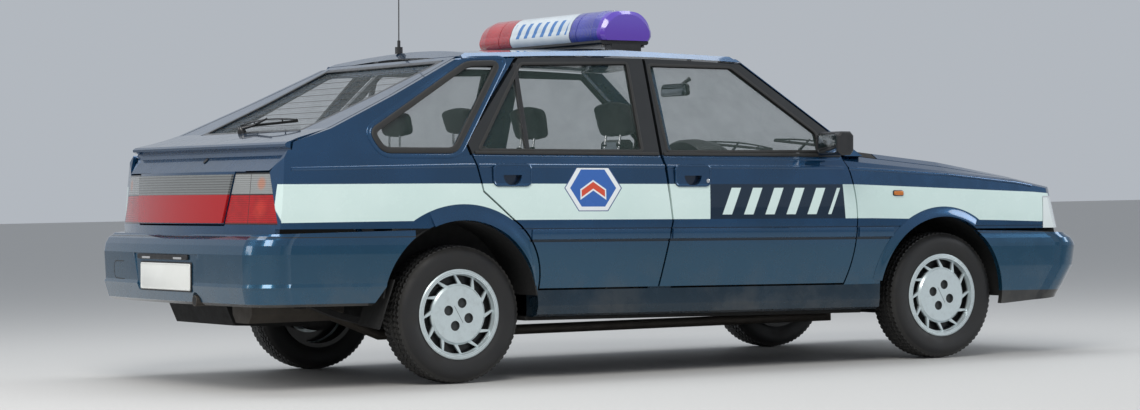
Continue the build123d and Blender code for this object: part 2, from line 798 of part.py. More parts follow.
def rear_panel():
    """The tail wall below the lamps, which runs down behind the bumper to the boot floor."""
    with BuildPart() as wall:
        add(TAIL)
        add(tail_prism(TAIL_WALL), mode=Mode.SUBTRACT)
        add(body_lower_core(REAR_STATIONS, True, SKIN + SEAT_GAP), mode=Mode.INTERSECT)
        add(block(-2200, -1950, -900, 900, BOOT_FLOOR_Z - 6, TAIL_LAMP[0][1] - SEAT_GAP), mode=Mode.INTERSECT)
        add(tailgate_back(SEAM), mode=Mode.SUBTRACT)
    return wall.part


def bumper_plan(bumper, pull, tuck):
    """The plan of a bumper as a closed outline, symmetric about the centreline."""
    reach = NOSE_X - pull
    corner = bumper.corner - pull
    side = bumper.side - tuck
    back = BUMPER_BACK - 100
    return (
        (back, -side - 8), (corner - 170, -side), ((corner - 40, -side + 22), (corner, -side + 90)),
        ((reach, 0), (corner, side - 90)), ((corner - 40, side - 22), (corner - 170, side)), (back, side + 8),
    )


def bumper_form(bumper, wall=0):
    """A bumper's outside as a stack of plans, rounded over the top and under the bottom."""
    with BuildPart() as form:
        for level in bumper.levels:
            with BuildSketch(Plane.XY.offset(level.z)):
                add(outline(bumper_plan(bumper, level.pull + wall, level.tuck + wall), Plane.XY))
        loft(ruled=True)
    return form.part


def bumper_shell(bumper):
    """A hollow bumper between its top and bottom lines, drawn as at the front."""
    with BuildPart() as shell:
        add(bumper_form(bumper))
        add(side_prism((*bumper.top, *bumper.bottom), -900), mode=Mode.INTERSECT)
        add(block(BUMPER_BACK, 2300, -900, 900, 200, 700), mode=Mode.INTERSECT)
        add(Pos(0, 0, -BUMPER_DROP) * bumper_form(bumper, BUMPER_WALL), mode=Mode.SUBTRACT)
    return shell.part


def front_bumper():
    with BuildPart() as bumper:
        add(bumper_shell(FRONT_BUMPER))
        add(nose_clearance(), mode=Mode.SUBTRACT)
        add(arch_tunnel(FRONT_ARCH), mode=Mode.SUBTRACT)
    return bumper.part


def nose_clearance():
    """The room that the nose takes out of the front bumper's top shelf."""
    with BuildPart() as room:
        add(nose_prism(-4))
        add(block(1300, 2200, -766, 766, 200, 700), mode=Mode.INTERSECT)
    return room.part


def arch_tunnel(arch, grow=0):
    """A wheel arch plug right across the car."""
    return arch_plug(arch, -900, 900, grow)


def pipe_notch():
    """The notch in the rear bumper's lower edge round the tailpipe."""
    y, z = TAILPIPE
    height = level_z(TAILPIPE_END, z)
    with BuildPart() as notch:
        with BuildSketch(Plane.YZ.offset(-2300)):
            with Locations((y, height)):
                Circle(PIPE_NOTCH)
            with Locations((y, height - 100)):
                Rectangle(2 * PIPE_NOTCH, 200)
        extrude(amount=400)
    return notch.part


def rear_bumper():
    with BuildPart() as bumper:
        add(Rot(0, 0, 180) * bumper_shell(REAR_BUMPER))
        add(shelf_clearance(), mode=Mode.SUBTRACT)
        add(arch_tunnel(REAR_ARCH), mode=Mode.SUBTRACT)
        add(side_prism(BUMPER_SLANT, -900), mode=Mode.SUBTRACT)
        add(pipe_notch(), mode=Mode.SUBTRACT)
        with BuildSketch(Plane.YZ.offset(PLATE_RECESS_X)):
            Polygon(*PLATE_RECESS, align=None)
        extrude(amount=-100, mode=Mode.SUBTRACT)
    return bumper.part


def shelf_clearance():
    """The room that the tail wall takes out of the bumper's top shelf."""
    with BuildPart() as room:
        add(tail_prism(-3))
        add(block(-2200, -1300, -782, 782, BOOT_FLOOR_Z - 10, 700), mode=Mode.INTERSECT)
    return room.part


def headlamps():
    """The headlamps, which wrap round the corners of the nose to meet the wings."""
    with BuildPart() as lamp:
        add(LOWER_FRONT)
        add(NOSE, mode=Mode.INTERSECT)
        add(block(1904, 2120, -830, -LAMP_INNER, LAMP_LOW, LAMP_HIGH), mode=Mode.INTERSECT)
        add(nose_prism(100), mode=Mode.SUBTRACT)
    return both_sides(lamp.part)


def grille():
    """A thin slatted panel between the headlamps."""
    with BuildPart() as panel:
        add(nose_prism(8))
        add(nose_prism(34), mode=Mode.SUBTRACT)
        half = LAMP_INNER - 4
        add(block(1900, 2200, -half, half, LAMP_LOW - 1 + SEAT_GAP, LAMP_HIGH - 2), mode=Mode.INTERSECT)
        pitch = 24
        for row in range(5):
            low = LAMP_LOW + 12 + row * pitch
            for side in (-1, 1):
                add(
                    block(1900, 2200, side * 60, side * (half - 14), low, low + 12),
                    mode=Mode.SUBTRACT,
                )
    return panel.part


def nose_strip():
    """The strip below the lamps and the grille, down to the bumper."""
    with BuildPart() as strip:
        add(nose_prism(3))
        add(block(1896, 2120, -680, 680, 584, LAMP_LOW - 1), mode=Mode.INTERSECT)
    return strip.part


def front_panel():
    """The upright wall behind the lamps and grille, with the strip that fills down to the bumper."""
    room = Pos(0, 0, -BUMPER_DROP) * bumper_form(FRONT_BUMPER, BUMPER_WALL + SEAT_GAP)
    with BuildPart() as lower:
        add(room)
        add(block(1880, 1896, -800, 800, 352, BUMPER_TOP - 45), mode=Mode.INTERSECT)
    with BuildPart() as wall:
        add(body_lower_core(FRONT_STATIONS, False, SKIN + SEAT_GAP))
        add(block(1880, 1896, -800, 800, BUMPER_TOP - 18, 742), mode=Mode.INTERSECT)
        add(block(1880, 1896, -760, 760, BUMPER_TOP - 46, BUMPER_TOP - 18))
        add(lower.part)
        add(nose_strip())
    return wall.part


def front_door_room():
    """The room that the frame of the right-hand front door takes out of the A-pillar."""
    with BuildPart() as room:
        add(CABIN)
        add(glasshouse(FRAME_DEPTH + 6), mode=Mode.SUBTRACT)
        add(side_prism(FRONT_DOOR, 400, 900, SEAM / 2), mode=Mode.INTERSECT)
    return room.part


def front_post():
    """The right-hand A-pillar beside the windscreen, ahead of and inboard of the door frame."""
    with BuildPart() as post:
        add(CABIN)
        add(glasshouse(62), mode=Mode.SUBTRACT)
        add(SCREEN, mode=Mode.INTERSECT)
        add(screen_prism(95), mode=Mode.SUBTRACT)
        add(block(200, 900, -850, -500, 938, 1400), mode=Mode.INTERSECT)
        add(under_gutter(1), mode=Mode.INTERSECT)
        add(front_door_room(), mode=Mode.SUBTRACT)
        add(Pos(0, 0, SEAT_GAP) * LOWER_FRONT, mode=Mode.SUBTRACT)
    return post.part


def door_posts():
    """The right-hand hinge post ahead of the front door and the B-pillar between the doors."""
    inner = HALF_WIDTH - DOOR_DEPTH - SEAM
    frame = FRAME_DEPTH + SEAM
    top = 1349
    lean = LEAN * (top - BELT_Z)
    with BuildPart() as posts:
        add(block(826, 884, -764, -702, SILL_TOP + SEAT_GAP, 882))
        with BuildSketch(Plane.YZ.offset(-238)):
            Polygon(
                (-inner, SILL_TOP + SEAT_GAP), (-inner, 908),
                (-CABIN_HALF + frame + LEAN * 10, BELT_Z + 10),
                (-CABIN_HALF + frame + lean, top), (-CABIN_HALF + frame + 34 + lean, top),
                (-CABIN_HALF + frame + 40, BELT_Z), (-inner + 42, 900), (-inner + 42, SILL_TOP + SEAT_GAP),
                align=None,
            )
        extrude(amount=116)
    return posts.part


def body_pillars():
    """The A-pillars, hinge posts and B-pillars of both sides."""
    with BuildPart() as pillars:
        add(both_sides(front_post()))
        add(both_sides(door_posts()))
    return pillars.part


def side_sills():
    """The rockers below the doors, rounded under, and cut by both wheel arches."""
    half = HALF_WIDTH - 26
    with BuildPart() as sill:
        with BuildSketch(Plane.YZ.offset(-900)):
            Polygon(
                (-half, SILL_TOP), (-half, 300), (-half + 12, 264), (-half + 40, SILL_BOTTOM),
                (-700, SILL_BOTTOM), (-700, SILL_TOP),
                align=None,
            )
        extrude(amount=1900)
        add(arch_plug(REAR_ARCH), mode=Mode.SUBTRACT)
        add(arch_plug(FRONT_ARCH), mode=Mode.SUBTRACT)
    return both_sides(sill.part)


def floor_pan():
    """The cabin floor with its tunnel, the riser under the rear seat and the boot floor."""
    t = FLOOR_THICKNESS
    boot = BOOT_FLOOR_Z
    half = HOUSE_INNER - HOUSE_WALL - SEAT_GAP
    with BuildPart() as floor:
        with BuildSketch(Plane.YZ.offset(FLOOR_REAR)):
            Polygon(
                (-FLOOR_HALF, FLOOR_Z), (-TUNNEL_HALF - 30, FLOOR_Z), (-TUNNEL_HALF, TUNNEL_TOP - t),
                (TUNNEL_HALF, TUNNEL_TOP - t), (TUNNEL_HALF + 30, FLOOR_Z), (FLOOR_HALF, FLOOR_Z),
                (FLOOR_HALF, FLOOR_Z + t), (TUNNEL_HALF + 42, FLOOR_Z + t), (TUNNEL_HALF + 12, TUNNEL_TOP),
                (-TUNNEL_HALF - 12, TUNNEL_TOP), (-TUNNEL_HALF - 42, FLOOR_Z + t), (-FLOOR_HALF, FLOOR_Z + t),
                align=None,
            )
        extrude(amount=FLOOR_FRONT - FLOOR_REAR)
        add(block(FLOOR_REAR - t, FLOOR_REAR, -half, half, TUNNEL_TOP - t, boot + t))
        add(block(FLOOR_REAR - t, FLOOR_REAR, -half, -TUNNEL_HALF - 20, FLOOR_Z, boot + t))
        add(block(FLOOR_REAR - t, FLOOR_REAR, TUNNEL_HALF + 20, half, FLOOR_Z, boot + t))
        add(block(-2070, FLOOR_REAR, -half, half, boot, boot + t))
        add(block(-2120, -1560, -735, 735, boot, boot + t))
        add(tail_prism(20 + SEAT_GAP), mode=Mode.INTERSECT)
        front_end = level_x(REAR_AXLE_X + SPRING_FRONT, TYRE_RADIUS + 68) + 2 * SEAT_GAP
        rear_end = level_x(REAR_AXLE_X - SPRING_REAR, TYRE_RADIUS + 68) - 2 * SEAT_GAP
        for y in (-SPRING_Y, SPRING_Y):
            add(block(front_end, FLOOR_REAR - t, y - 28, y + 28, 300, boot + t))
            add(block(rear_end - 28, rear_end, y - 28, y + 28, 300, boot))
    return floor.part


def wheel_house(arch, radius, near, far, low):
    """A round-topped shell over one right-hand wheel, closed on its inner side."""
    with BuildPart() as shell:
        with BuildSketch(Plane.XZ.offset(near)):
            with Locations((arch.x, arch.z)):
                Circle(radius + HOUSE_WALL)
        extrude(amount=far - near)
        with BuildSketch(Plane.XZ.offset(near + HOUSE_WALL)):
            with Locations((arch.x, arch.z)):
                Circle(radius)
        extrude(amount=far, mode=Mode.SUBTRACT)
        add(block(arch.x - 500, arch.x + 500, -900, 0, low, 1000), mode=Mode.INTERSECT)
    return shell.part


def front_house_rim():
    """The outer part of the right-hand front wheel house, which runs out to the wing."""
    with BuildPart() as rim:
        add(wheel_house(FRONT_HOUSE, FRONT_HOUSE.radius, 760, 820, BUMPER_TOP - 10))
        add(arch_plug(FRONT_HOUSE, 750, 900), mode=Mode.SUBTRACT)
        add(body_lower_core(FRONT_STATIONS, False, SKIN + SEAT_GAP), mode=Mode.INTERSECT)
    return rim.part


def wheel_houses():
    """The four inner arches over the wheels."""
    with BuildPart() as houses:
        add(both_sides(wheel_house(REAR_ARCH, REAR_HOUSE - HOUSE_WALL, HOUSE_INNER - HOUSE_WALL, 800, 345)))
        add(both_sides(wheel_house(FRONT_HOUSE, FRONT_HOUSE.radius, FRONT_HOUSE_INNER, 764, 300)))
        add(both_sides(front_house_rim()))
    return houses.part


def cowl():
    """The panel between the foot of the windscreen and the bonnet."""
    with BuildPart() as panel:
        add(LOWER_FRONT)
        add(Pos(0, 0, -SKIN + 4) * LOWER_FRONT, mode=Mode.SUBTRACT)
        add(block(820, HOOD_REAR - 7, -HOOD_HALF, HOOD_HALF, 850, 1100), mode=Mode.INTERSECT)
        add(screen_prism(-1), mode=Mode.SUBTRACT)
    return panel.part


def bulkhead():
    """The wall between engine and cabin, with the cowl that runs from the windscreen to the bonnet."""
    with BuildPart() as wall:
        add(block(FLOOR_FRONT + SEAT_GAP, 921, -700, 700, FLOOR_Z, 900))
        add(cowl())
        add(block(905, 921, -600, 600, 890, 945))
        add(block(900, 930, -TUNNEL_HALF, TUNNEL_HALF, 200, TUNNEL_TOP - FLOOR_THICKNESS), mode=Mode.SUBTRACT)
    return wall.part


def dashboard():
    """The fascia across the cabin, with a binnacle in front of the driver."""
    profile = (
        (903, 620), (903, 880), (858, 912), (700, 905), (628, 872), (596, 800), (640, 700), (760, 640),
    )
    binnacle = ((800, 900), (700, 936), (628, 930), (610, 860), (700, 850))
    with BuildPart() as fascia:
        with BuildSketch(Plane.XZ.offset(-690)):
            Polygon(*profile, align=None)
        extrude(amount=1380)
        with BuildSketch(Plane.XZ.offset(-560)):
            Polygon(*binnacle, align=None)
        extrude(amount=380)
        with BuildSketch(Plane.XZ.offset(-120)):
            Polygon(
                (760, TUNNEL_TOP + 1), (640, TUNNEL_TOP + 1), (590, 640), (640, 720), (760, 720), align=None,
            )
        extrude(amount=240)
    return fascia.part


def front_seats():
    """Two front seats: cushion, leaning backrest and a headrest on its posts."""
    cushion = ((-120, 290), (-140, 440), (-60, 470), (330, 500), (390, 470), (390, 400), (340, 290))
    back = ((-150, 430), (-10, 470), (-130, 960), (-190, 985), (-260, 960), (-265, 900))
    rest = ((-192, 1010), (-130, 1020), (-150, 1170), (-185, 1185), (-232, 1170))
    with BuildPart() as seat:
        for steps, width in ((cushion, SEAT_WIDTH), (back, SEAT_WIDTH), (rest, 270)):
            with BuildSketch(Plane.XZ.offset(SEAT_Y - width / 2)):
                Polygon(*steps, align=None)
            extrude(amount=width)
        for y in (-60, 60):
            add(block(-190, -180, -SEAT_Y + y - 5, -SEAT_Y + y + 5, 960, 1040))
        for y in (-190, 190):
            add(block(-80, 320, -SEAT_Y + y - 20, -SEAT_Y + y + 20, FLOOR_Z + FLOOR_THICKNESS, 300))
    return both_sides(seat.part)


def rear_seat():
    """The rear bench with its back and two headrests."""
    low = TUNNEL_TOP + SEAT_GAP
    cushion = ((-812, low), (-812, 500), (-740, 520), (-360, 550), (-310, 520), (-320, 420), (-350, low))
    back = ((-812, 480), (-690, 500), (-880, 1000), (-950, 1010), (-960, 960), (-812, 520))
    rest = ((-930, 1020), (-868, 1030), (-885, 1140), (-915, 1150), (-960, 1135))
    with BuildPart() as bench:
        with BuildSketch(Plane.XZ.offset(-640)):
            Polygon(*cushion, align=None)
        extrude(amount=1280)
        with BuildSketch(Plane.XZ.offset(-535)):
            Polygon(*back, align=None)
        extrude(amount=1070)
        for y in (-300, 300):
            with BuildSketch(Plane.XZ.offset(-y - 120)):
                Polygon(*rest, align=None)
            extrude(amount=240)
            for step in (-50, 50):
                add(block(-923, -913, y + step - 5, y + step + 5, 990, 1040))
    return bench.part


def steering_wheel():
    """The rim, spokes and hub on a column that comes out of the dashboard."""
    tilt = 24
    lean = radians(tilt)
    seat = Plane(origin=(455, SEAT_Y, 838), x_dir=(0, 1, 0), z_dir=(-cos(lean), 0, sin(lean)))
    with BuildPart(seat) as wheel:
        with BuildSketch(Plane(seat.origin, x_dir=seat.x_dir, z_dir=seat.y_dir)):
            with Locations((184, 0)):
                Rectangle(24, 26)
        revolve(axis=Axis(seat.origin, seat.z_dir))
        with BuildSketch(seat.offset(-30)):
            RegularPolygon(62, 12)
        extrude(amount=34)
        with BuildSketch(seat.offset(-14)):
            Rectangle(344, 38)
            with Locations((0, -90)):
                Rectangle(40, 180)
        extrude(amount=12)
        with BuildSketch(seat.offset(-134)):
            RegularPolygon(26, 12)
        extrude(amount=110)
    return wheel.part


def light_bar_base():
    """The tray of the roof light bar on two feet that rest on the roof."""
    low, high = BAR_TRAY_Z
    with BuildPart() as base:
        with BuildSketch(Plane.XZ.offset(-BAR_HALF + CAP_PULL)):
            with BuildLine():
                Polyline(
                    (BAR_X - BAR_TRAY_HALF, high), (BAR_X - BAR_TRAY_HALF, low + 6),
                    (BAR_X - BAR_TRAY_HALF + 8, low), (BAR_X + BAR_TRAY_HALF - 8, low),
                    (BAR_X + BAR_TRAY_HALF, low + 6), (BAR_X + BAR_TRAY_HALF, high),
                    (BAR_X - BAR_TRAY_HALF, high),
                )
            make_face()
        extrude(amount=2 * (BAR_HALF - CAP_PULL))
        for y in (-BAR_FOOT_Y, BAR_FOOT_Y):
            add(block(BAR_X - 75, BAR_X + 75, y - 30, y + 30, 1380, low + 1))
        add(Pos(0, 0, SEAT_GAP) * CABIN, mode=Mode.SUBTRACT)
    return base.part


def dome_section(y, pull=0):
    """A slice across the domes: leaning sides over a narrower foot, and a rounded top."""
    low = [(a - pull, b) for a, b in (DOME_FOOT, *DOME_SIDE)]
    high = [(a - pull, b - pull) for a, b in DOME_TOP]
    with BuildSketch(Plane.XZ.offset(-y)) as section:
        with BuildLine():
            for sign in (-1, 1):
                foot, bulge, side, shoulder, edge = [(BAR_X + sign * a, b) for a, b in (*low, *high[:2])]
                ThreePointArc(foot, bulge, side)
                ThreePointArc(side, shoulder, edge)
            (half, edge_z), (_, crown_z) = high[1:]
            ThreePointArc((BAR_X - half, edge_z), (BAR_X, crown_z), (BAR_X + half, edge_z))
            Line((BAR_X - low[0][0], low[0][1]), (BAR_X + low[0][0], low[0][1]))
        make_face()
    return section.sketch


def dome(slices):
    """One dome lofted through its slices, each a place along the bar and how far it is pulled in."""
    sections = [dome_section(y, pull) for y, pull in slices]
    with BuildPart() as shell:
        for section in sections:
            add(section)
        loft(ruled=True)
    return shell.part


def light_bar_lenses():
    """Three domes side by side: the clear centre, and two coloured ends that taper to their caps."""
    joint = BAR_JOINT + 2
    end = ((-joint, 0), (-BAR_CAP, 0), (-BAR_HALF + 14, CAP_PULL / 3), (-BAR_HALF, CAP_PULL))
    right = dome(end)
    middle = dome(((-BAR_JOINT + 2, 0), (BAR_JOINT - 2, 0)))
    with BuildPart() as lenses:
        add(middle)
        add(both_sides(right))
    return lenses.part


def roof_antenna():
    """The whip antenna on its foot at the back of the roof."""
    x, y = -1000, 100
    with BuildPart() as whip:
        with Locations((x, y, 1398)):
            Cylinder(17, 44)
        with Locations((x, y, 1618)):
            Cylinder(2.6, 400)
        with Locations((x, y, 1432)):
            Cylinder(7, 34)
        add(Pos(0, 0, SEAT_GAP) * CABIN, mode=Mode.SUBTRACT)
    return whip.part


def engine():
    """The engine and gearbox as one plain mass."""
    with BuildPart() as mass:
        add(block(*ENGINE_BOX))
        add(block(928, 1010, -120, 120, CROSSMEMBER_TOP - 12, 520))
    return mass.part


def cross_tube(radius, x, z, near, far):
    """A round bar across the car between two values of y."""
    with BuildPart() as bar:
        with BuildSketch(Plane.XZ.offset(-far)):
            with Locations((x, z)):
                Circle(radius)
        extrude(amount=far - near)
    return bar.part


def rear_axle():
    """The live axle: tube, differential, brake drums and the two leaf springs that carry it."""
    x, z = REAR_AXLE_X, TYRE_RADIUS
    with BuildPart() as axle:
        add(cross_tube(36, x, z, -HUB_FACE + 40, HUB_FACE - 40))
        for side in (-1, 1):
            edge = side * (HUB_FACE - 1)
            near, far = sorted((edge, edge - side * 44))
            add(cross_tube(112, x, z, near, far))
        with Locations((x, 0, z)):
            Cylinder(98, 150, rotation=(0, 90, 0))
        for side in (-1, 1):
            y = side * SPRING_Y
            with BuildSketch(Plane.XZ.offset(-y - 28)):
                back, front = x - SPRING_REAR, x + SPRING_FRONT
                mid = (back + front) / 2
                with BuildLine():
                    ThreePointArc((back, z + 56), (mid, z - 54), (front, z + 56))
                    Line((front, z + 56), (front, z + 80))
                    ThreePointArc((front, z + 80), (mid, z - 28), (back, z + 80))
                    Line((back, z + 80), (back, z + 56))
                make_face()
            extrude(amount=56)
    return axle.part


def prop_shaft():
    """The shaft from the gearbox back to the differential."""
    start = REAR_AXLE_X + 75 + SEAT_GAP
    with BuildPart() as shaft:
        with BuildSketch(Plane.YZ.offset(start)):
            with Locations((0, TYRE_RADIUS)):
                Circle(33)
        extrude(amount=928 - SEAT_GAP - start)
    return shaft.part


def exhaust():
    """The pipe from the engine to the tail with its silencer, down the right of the tunnel."""
    y, z = TAILPIPE
    mid, low, high = -330, z - 99, z + 31
    route = (
        (1100, -175, CROSSMEMBER_TOP), (1100, -175, PIPE_Z), (-700, -175, PIPE_Z), (-900, mid, PIPE_Z + 6),
        (-1330, mid, PIPE_Z + 12), (-1560, mid, low + 23),
    )
    with BuildPart() as system:
        with BuildLine() as path:
            Polyline(*route)
        with BuildSketch(Plane(origin=route[0], z_dir=path.line % 0)):
            Circle(PIPE_RADIUS)
        sweep(transition=Transition.RIGHT)
        with BuildSketch(Plane.YZ.offset(SILENCER_BACK)):
            Polygon(
                (mid - 95, low + 37), (mid - 62, low), (mid + 62, low), (mid + 95, low + 37),
                (mid + 95, high - 37), (mid + 62, high), (mid - 62, high), (mid - 95, high - 37),
                align=None,
            )
        extrude(amount=420)
        with BuildSketch(Plane.YZ.offset(TAILPIPE_END)):
            with Locations((y, z)):
                Circle(PIPE_RADIUS)
        extrude(amount=SILENCER_BACK - TAILPIPE_END + 10)
    return system.part


def fuel_tank():
    """The tank that hangs under the boot floor."""
    top = BOOT_FLOOR_Z - SEAT_GAP
    with BuildPart() as tank:
        with BuildSketch(Plane.XZ.offset(-470)):
            Polygon(
                (-1420, 240), (-1460, top), (-1900, top), (-1940, 310), (-1900, 220), (-1480, 206),
                align=None,
            )
        extrude(amount=600)
    return tank.part


def kingpin_point(z):
    """Where the right-hand steering axis is at a height, as (x, y, z)."""
    return (FRONT_AXLE_X, -KINGPIN_Y + KINGPIN_LEAN * (z - TYRE_RADIUS), z)


def along_kingpin(low, high, radius):
    """A round bar along the right-hand steering axis between two heights."""
    start = Vector(*kingpin_point(low))
    finish = Vector(*kingpin_point(high))
    with BuildPart() as bar:
        with BuildSketch(Plane(origin=start, x_dir=(1, 0, 0), z_dir=finish - start)):
            Circle(radius)
        extrude(amount=(finish - start).length)
    return bar.part


def knuckle():
    """The right-hand steering knuckle: an upright on the leaning axis, the stub axle and a steering arm."""
    x, z = FRONT_AXLE_X, TYRE_RADIUS
    with BuildPart() as upright:
        add(along_kingpin(182, 386, 24))
        add(cross_tube(30, x, z, -HUB_FACE + 1, -KINGPIN_Y + 10))
        add(block(x - 130, x, -KINGPIN_Y + 4, -KINGPIN_Y + 34, z - 60, z - 36))
    return upright.part


def front_suspension():
    """The cross-member under the engine, a lower arm to each knuckle and a strut above it."""
    x = FRONT_AXLE_X
    foot = kingpin_point(180)
    with BuildPart() as front:
        add(block(x - 50, x + 50, -360, 360, 196, CROSSMEMBER_TOP))
        add(block(x + 40, x + 230, -330, -280, 214, 254))
        add(block(x + 40, x + 230, 280, 330, 214, 254))
    with BuildPart() as arm:
        add(block(x - 26, x + 26, foot[1] - 24, -350, 150, 174))
        add(block(x - 26, x + 26, -384, -330, 150, 220))
        add(along_kingpin(392, STRUT_TOP, 19))
        add(along_kingpin(470, 486, 34))
    with BuildPart() as gear:
        add(front.part)
        add(both_sides(arm.part))
    return gear.part


def revolved(profile, x, y):
    """A ring turned about a wheel's axle from its radius and offset profile."""
    with BuildPart() as ring:
        with BuildSketch(Plane(origin=(x, y, TYRE_RADIUS), x_dir=(1, 0, 0), z_dir=(0, 0, 1))):
            Polygon(*profile, align=None)
        revolve(axis=Axis((x, y, TYRE_RADIUS), (0, 1, 0)))
    return ring.part


def tyre(x, side):
    profile = (*TYRE_PROFILE, *[(r, -w) for r, w in reversed(TYRE_PROFILE)])
    return revolved(profile, x, side * TRACK / 2)


def cover_openings(face):
    """The deep openings of a wheel cover: a ring broken by leaning, tapered blades."""
    mid = (DISC_FOOT + OPENING_RADIUS) / 2
    reach = (OPENING_RADIUS - DISC_FOOT) / 2 / cos(radians(BLADE_LEAN)) + BLADE_TIP
    with BuildPart() as openings:
        with BuildSketch(face.offset(OPENING_FLOOR)):
            Circle(OPENING_RADIUS)
            Circle(DISC_FOOT + 1, mode=Mode.SUBTRACT)
            with PolarLocations(mid, BLADES):
                Polygon(
                    (-reach, -BLADE_ROOT / 2), (reach, -BLADE_TIP / 2), (reach, BLADE_TIP / 2),
                    (-reach, BLADE_ROOT / 2),
                    rotation=BLADE_LEAN, align=None, mode=Mode.SUBTRACT,
                )
        extrude(amount=FLANGE_FACE)
    return openings.part


def wheel(x, side):
    """A rim closed by its turbine cover: bevelled disc, leaning blades and raised flange."""
    bore = RIM_RADIUS - 6 - SEAT_GAP
    lip = RIM_RADIUS + 4
    profile = (
        (0, DISC_FACE), (DISC_RADIUS, DISC_FACE), (DISC_FOOT, BLADE_FACE), (OPENING_RADIUS + 1, BLADE_FACE),
        (FLANGE_RADIUS, FLANGE_FACE), (RIM_RADIUS - 1, FLANGE_FACE),
        (lip, FLANGE_FACE - 3), (lip, 75), (bore, 75), (bore, -78), (lip, -78), (lip, -84),
        (bore - 8, -84), (bore - 8, COVER_BACK), (0, COVER_BACK),
    )
    turned = tuple((r, side * w) for r, w in profile)
    face = Plane(origin=(x, side * TRACK / 2, TYRE_RADIUS), x_dir=(1, 0, 0), z_dir=(0, side, 0))
    with BuildPart() as rim:
        add(revolved(turned, x, side * TRACK / 2))
        add(cover_openings(face), mode=Mode.SUBTRACT)
        with BuildSketch(face.offset(DISC_FACE - BOLT_DEPTH)):
            with PolarLocations(BOLT_CIRCLE, 4, start_angle=BOLT_ANGLE):
                Circle(BOLT_POCKET)
        extrude(amount=2 * BOLT_DEPTH, mode=Mode.SUBTRACT)
        with BuildSketch(face.offset(DISC_FACE - 2)):
            Rectangle(SLOT_LENGTH, 2.4, rotation=SLOT_ANGLE)
        extrude(amount=BOLT_DEPTH, mode=Mode.SUBTRACT)
        add(hub(x, side))
    return rim.part


def hub(x, side):
    """The hub behind the cover, which runs in to the drum or the stub axle."""
    with BuildPart() as boss:
        near, far = sorted((side * (HUB_FACE + SEAT_GAP), side * (TRACK / 2 + COVER_BACK + 2)))
        add(cross_tube(HUB_RADIUS, x, TYRE_RADIUS, near, far))
    return boss.part


def build_pieces():
    """Every piece by name: those that tip with the body, and those that stand in the ground frame."""
    right = {
        "door_front": door(FRONT_DOOR, FRONT_WINDOW),
        "door_rear": door(REAR_DOOR, REAR_WINDOW),
        "glass_front": pane(FRONT_WINDOW),
        "glass_rear": pane(REAR_WINDOW),
        "mirror": door_mirror(),
    }
    body = {f"{name}_right": piece for name, piece in right.items()}
    body |= {f"{name}_left": left_of(piece) for name, piece in right.items()}
    body |= {
        "roof_panel": roof_panel(),
        "quarter_panels": quarter_panels(),
        "front_fenders": front_fenders(),
        "hood": hood(),
        "fixed_glass": fixed_glass(),
        "tail_lamps": tail_lamps(),
        "tailgate": tailgate(),
        "tailgate_glass": tailgate_glass(),
        "tailgate_garnish": tailgate_garnish(),
        "rear_panel": rear_panel(),
        "front_bumper": front_bumper(),
        "rear_bumper": rear_bumper(),
        "headlamps": headlamps(),
        "grille": grille(),
        "front_panel": front_panel(),
        "body_pillars": body_pillars(),
        "side_sills": side_sills(),
        "floor_pan": floor_pan(),
        "wheel_houses": wheel_houses(),
        "bulkhead": bulkhead(),
        "dashboard": dashboard(),
        "front_seats": front_seats(),
        "rear_seat": rear_seat(),
        "steering_wheel": steering_wheel(),
        "light_bar_base": light_bar_base(),
        "light_bar_lenses": light_bar_lenses(),
        "roof_antenna": roof_antenna(),
        "fuel_tank": fuel_tank(),
    }
    ground = {
        "engine": engine(),
        "rear_axle": rear_axle(),
        "prop_shaft": prop_shaft(),
        "exhaust": exhaust(),
        "front_suspension": front_suspension(),
        "knuckle_right": knuckle(),
        "knuckle_left": left_of(knuckle()),
    }
    for end, x in (("front", FRONT_AXLE_X), ("rear", REAR_AXLE_X)):
        for side, sign in (("right", -1), ("left", 1)):
            ground[f"tyre_{end}_{side}"] = tyre(x, sign)
            ground[f"wheel_{end}_{side}"] = wheel(x, sign)
    return {name: RAKE * piece for name, piece in body.items()} | ground


os.makedirs("parts", exist_ok=True)
for name, piece in build_pieces().items():
    piece.label = name
    export_step(piece, f"parts/{name}.step")
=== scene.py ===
import json
from math import ceil, cos, exp, inf, pi, radians, sin, sqrt
import bmesh
import bpy
from mathutils import Matrix, Vector


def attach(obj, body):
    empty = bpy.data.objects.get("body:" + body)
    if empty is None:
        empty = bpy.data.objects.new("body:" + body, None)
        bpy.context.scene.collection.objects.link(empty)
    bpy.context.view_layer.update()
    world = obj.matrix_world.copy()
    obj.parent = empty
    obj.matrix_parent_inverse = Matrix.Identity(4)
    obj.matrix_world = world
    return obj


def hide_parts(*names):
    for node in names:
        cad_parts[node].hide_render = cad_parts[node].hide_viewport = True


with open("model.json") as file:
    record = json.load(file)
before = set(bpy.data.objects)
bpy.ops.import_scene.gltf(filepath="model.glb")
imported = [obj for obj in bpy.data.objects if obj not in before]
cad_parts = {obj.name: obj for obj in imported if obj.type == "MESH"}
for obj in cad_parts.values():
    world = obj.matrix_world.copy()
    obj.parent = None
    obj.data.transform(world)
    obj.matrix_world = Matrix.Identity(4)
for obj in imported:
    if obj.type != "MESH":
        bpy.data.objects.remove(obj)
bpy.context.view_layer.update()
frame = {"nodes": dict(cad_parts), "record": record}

nodes = frame["nodes"]
scene = bpy.context.scene
BODY_OF = {node: body for body, names in frame["record"]["behaviour"]["bodies"].items() for node in names}

# The body is drawn level, in millimetres, and turned nose-down about a line at RAKE_HEIGHT metres.
RAKE = radians(0.87)
RAKE_HEIGHT = 0.6
# Wheels stand in the frame itself, in metres.
TYRE_RADIUS = 0.288
FRONT_AXLE, REAR_AXLE = 1.344, -1.165
HALF_TRACK = 0.666
SIDES = (("right", -1), ("left", 1))


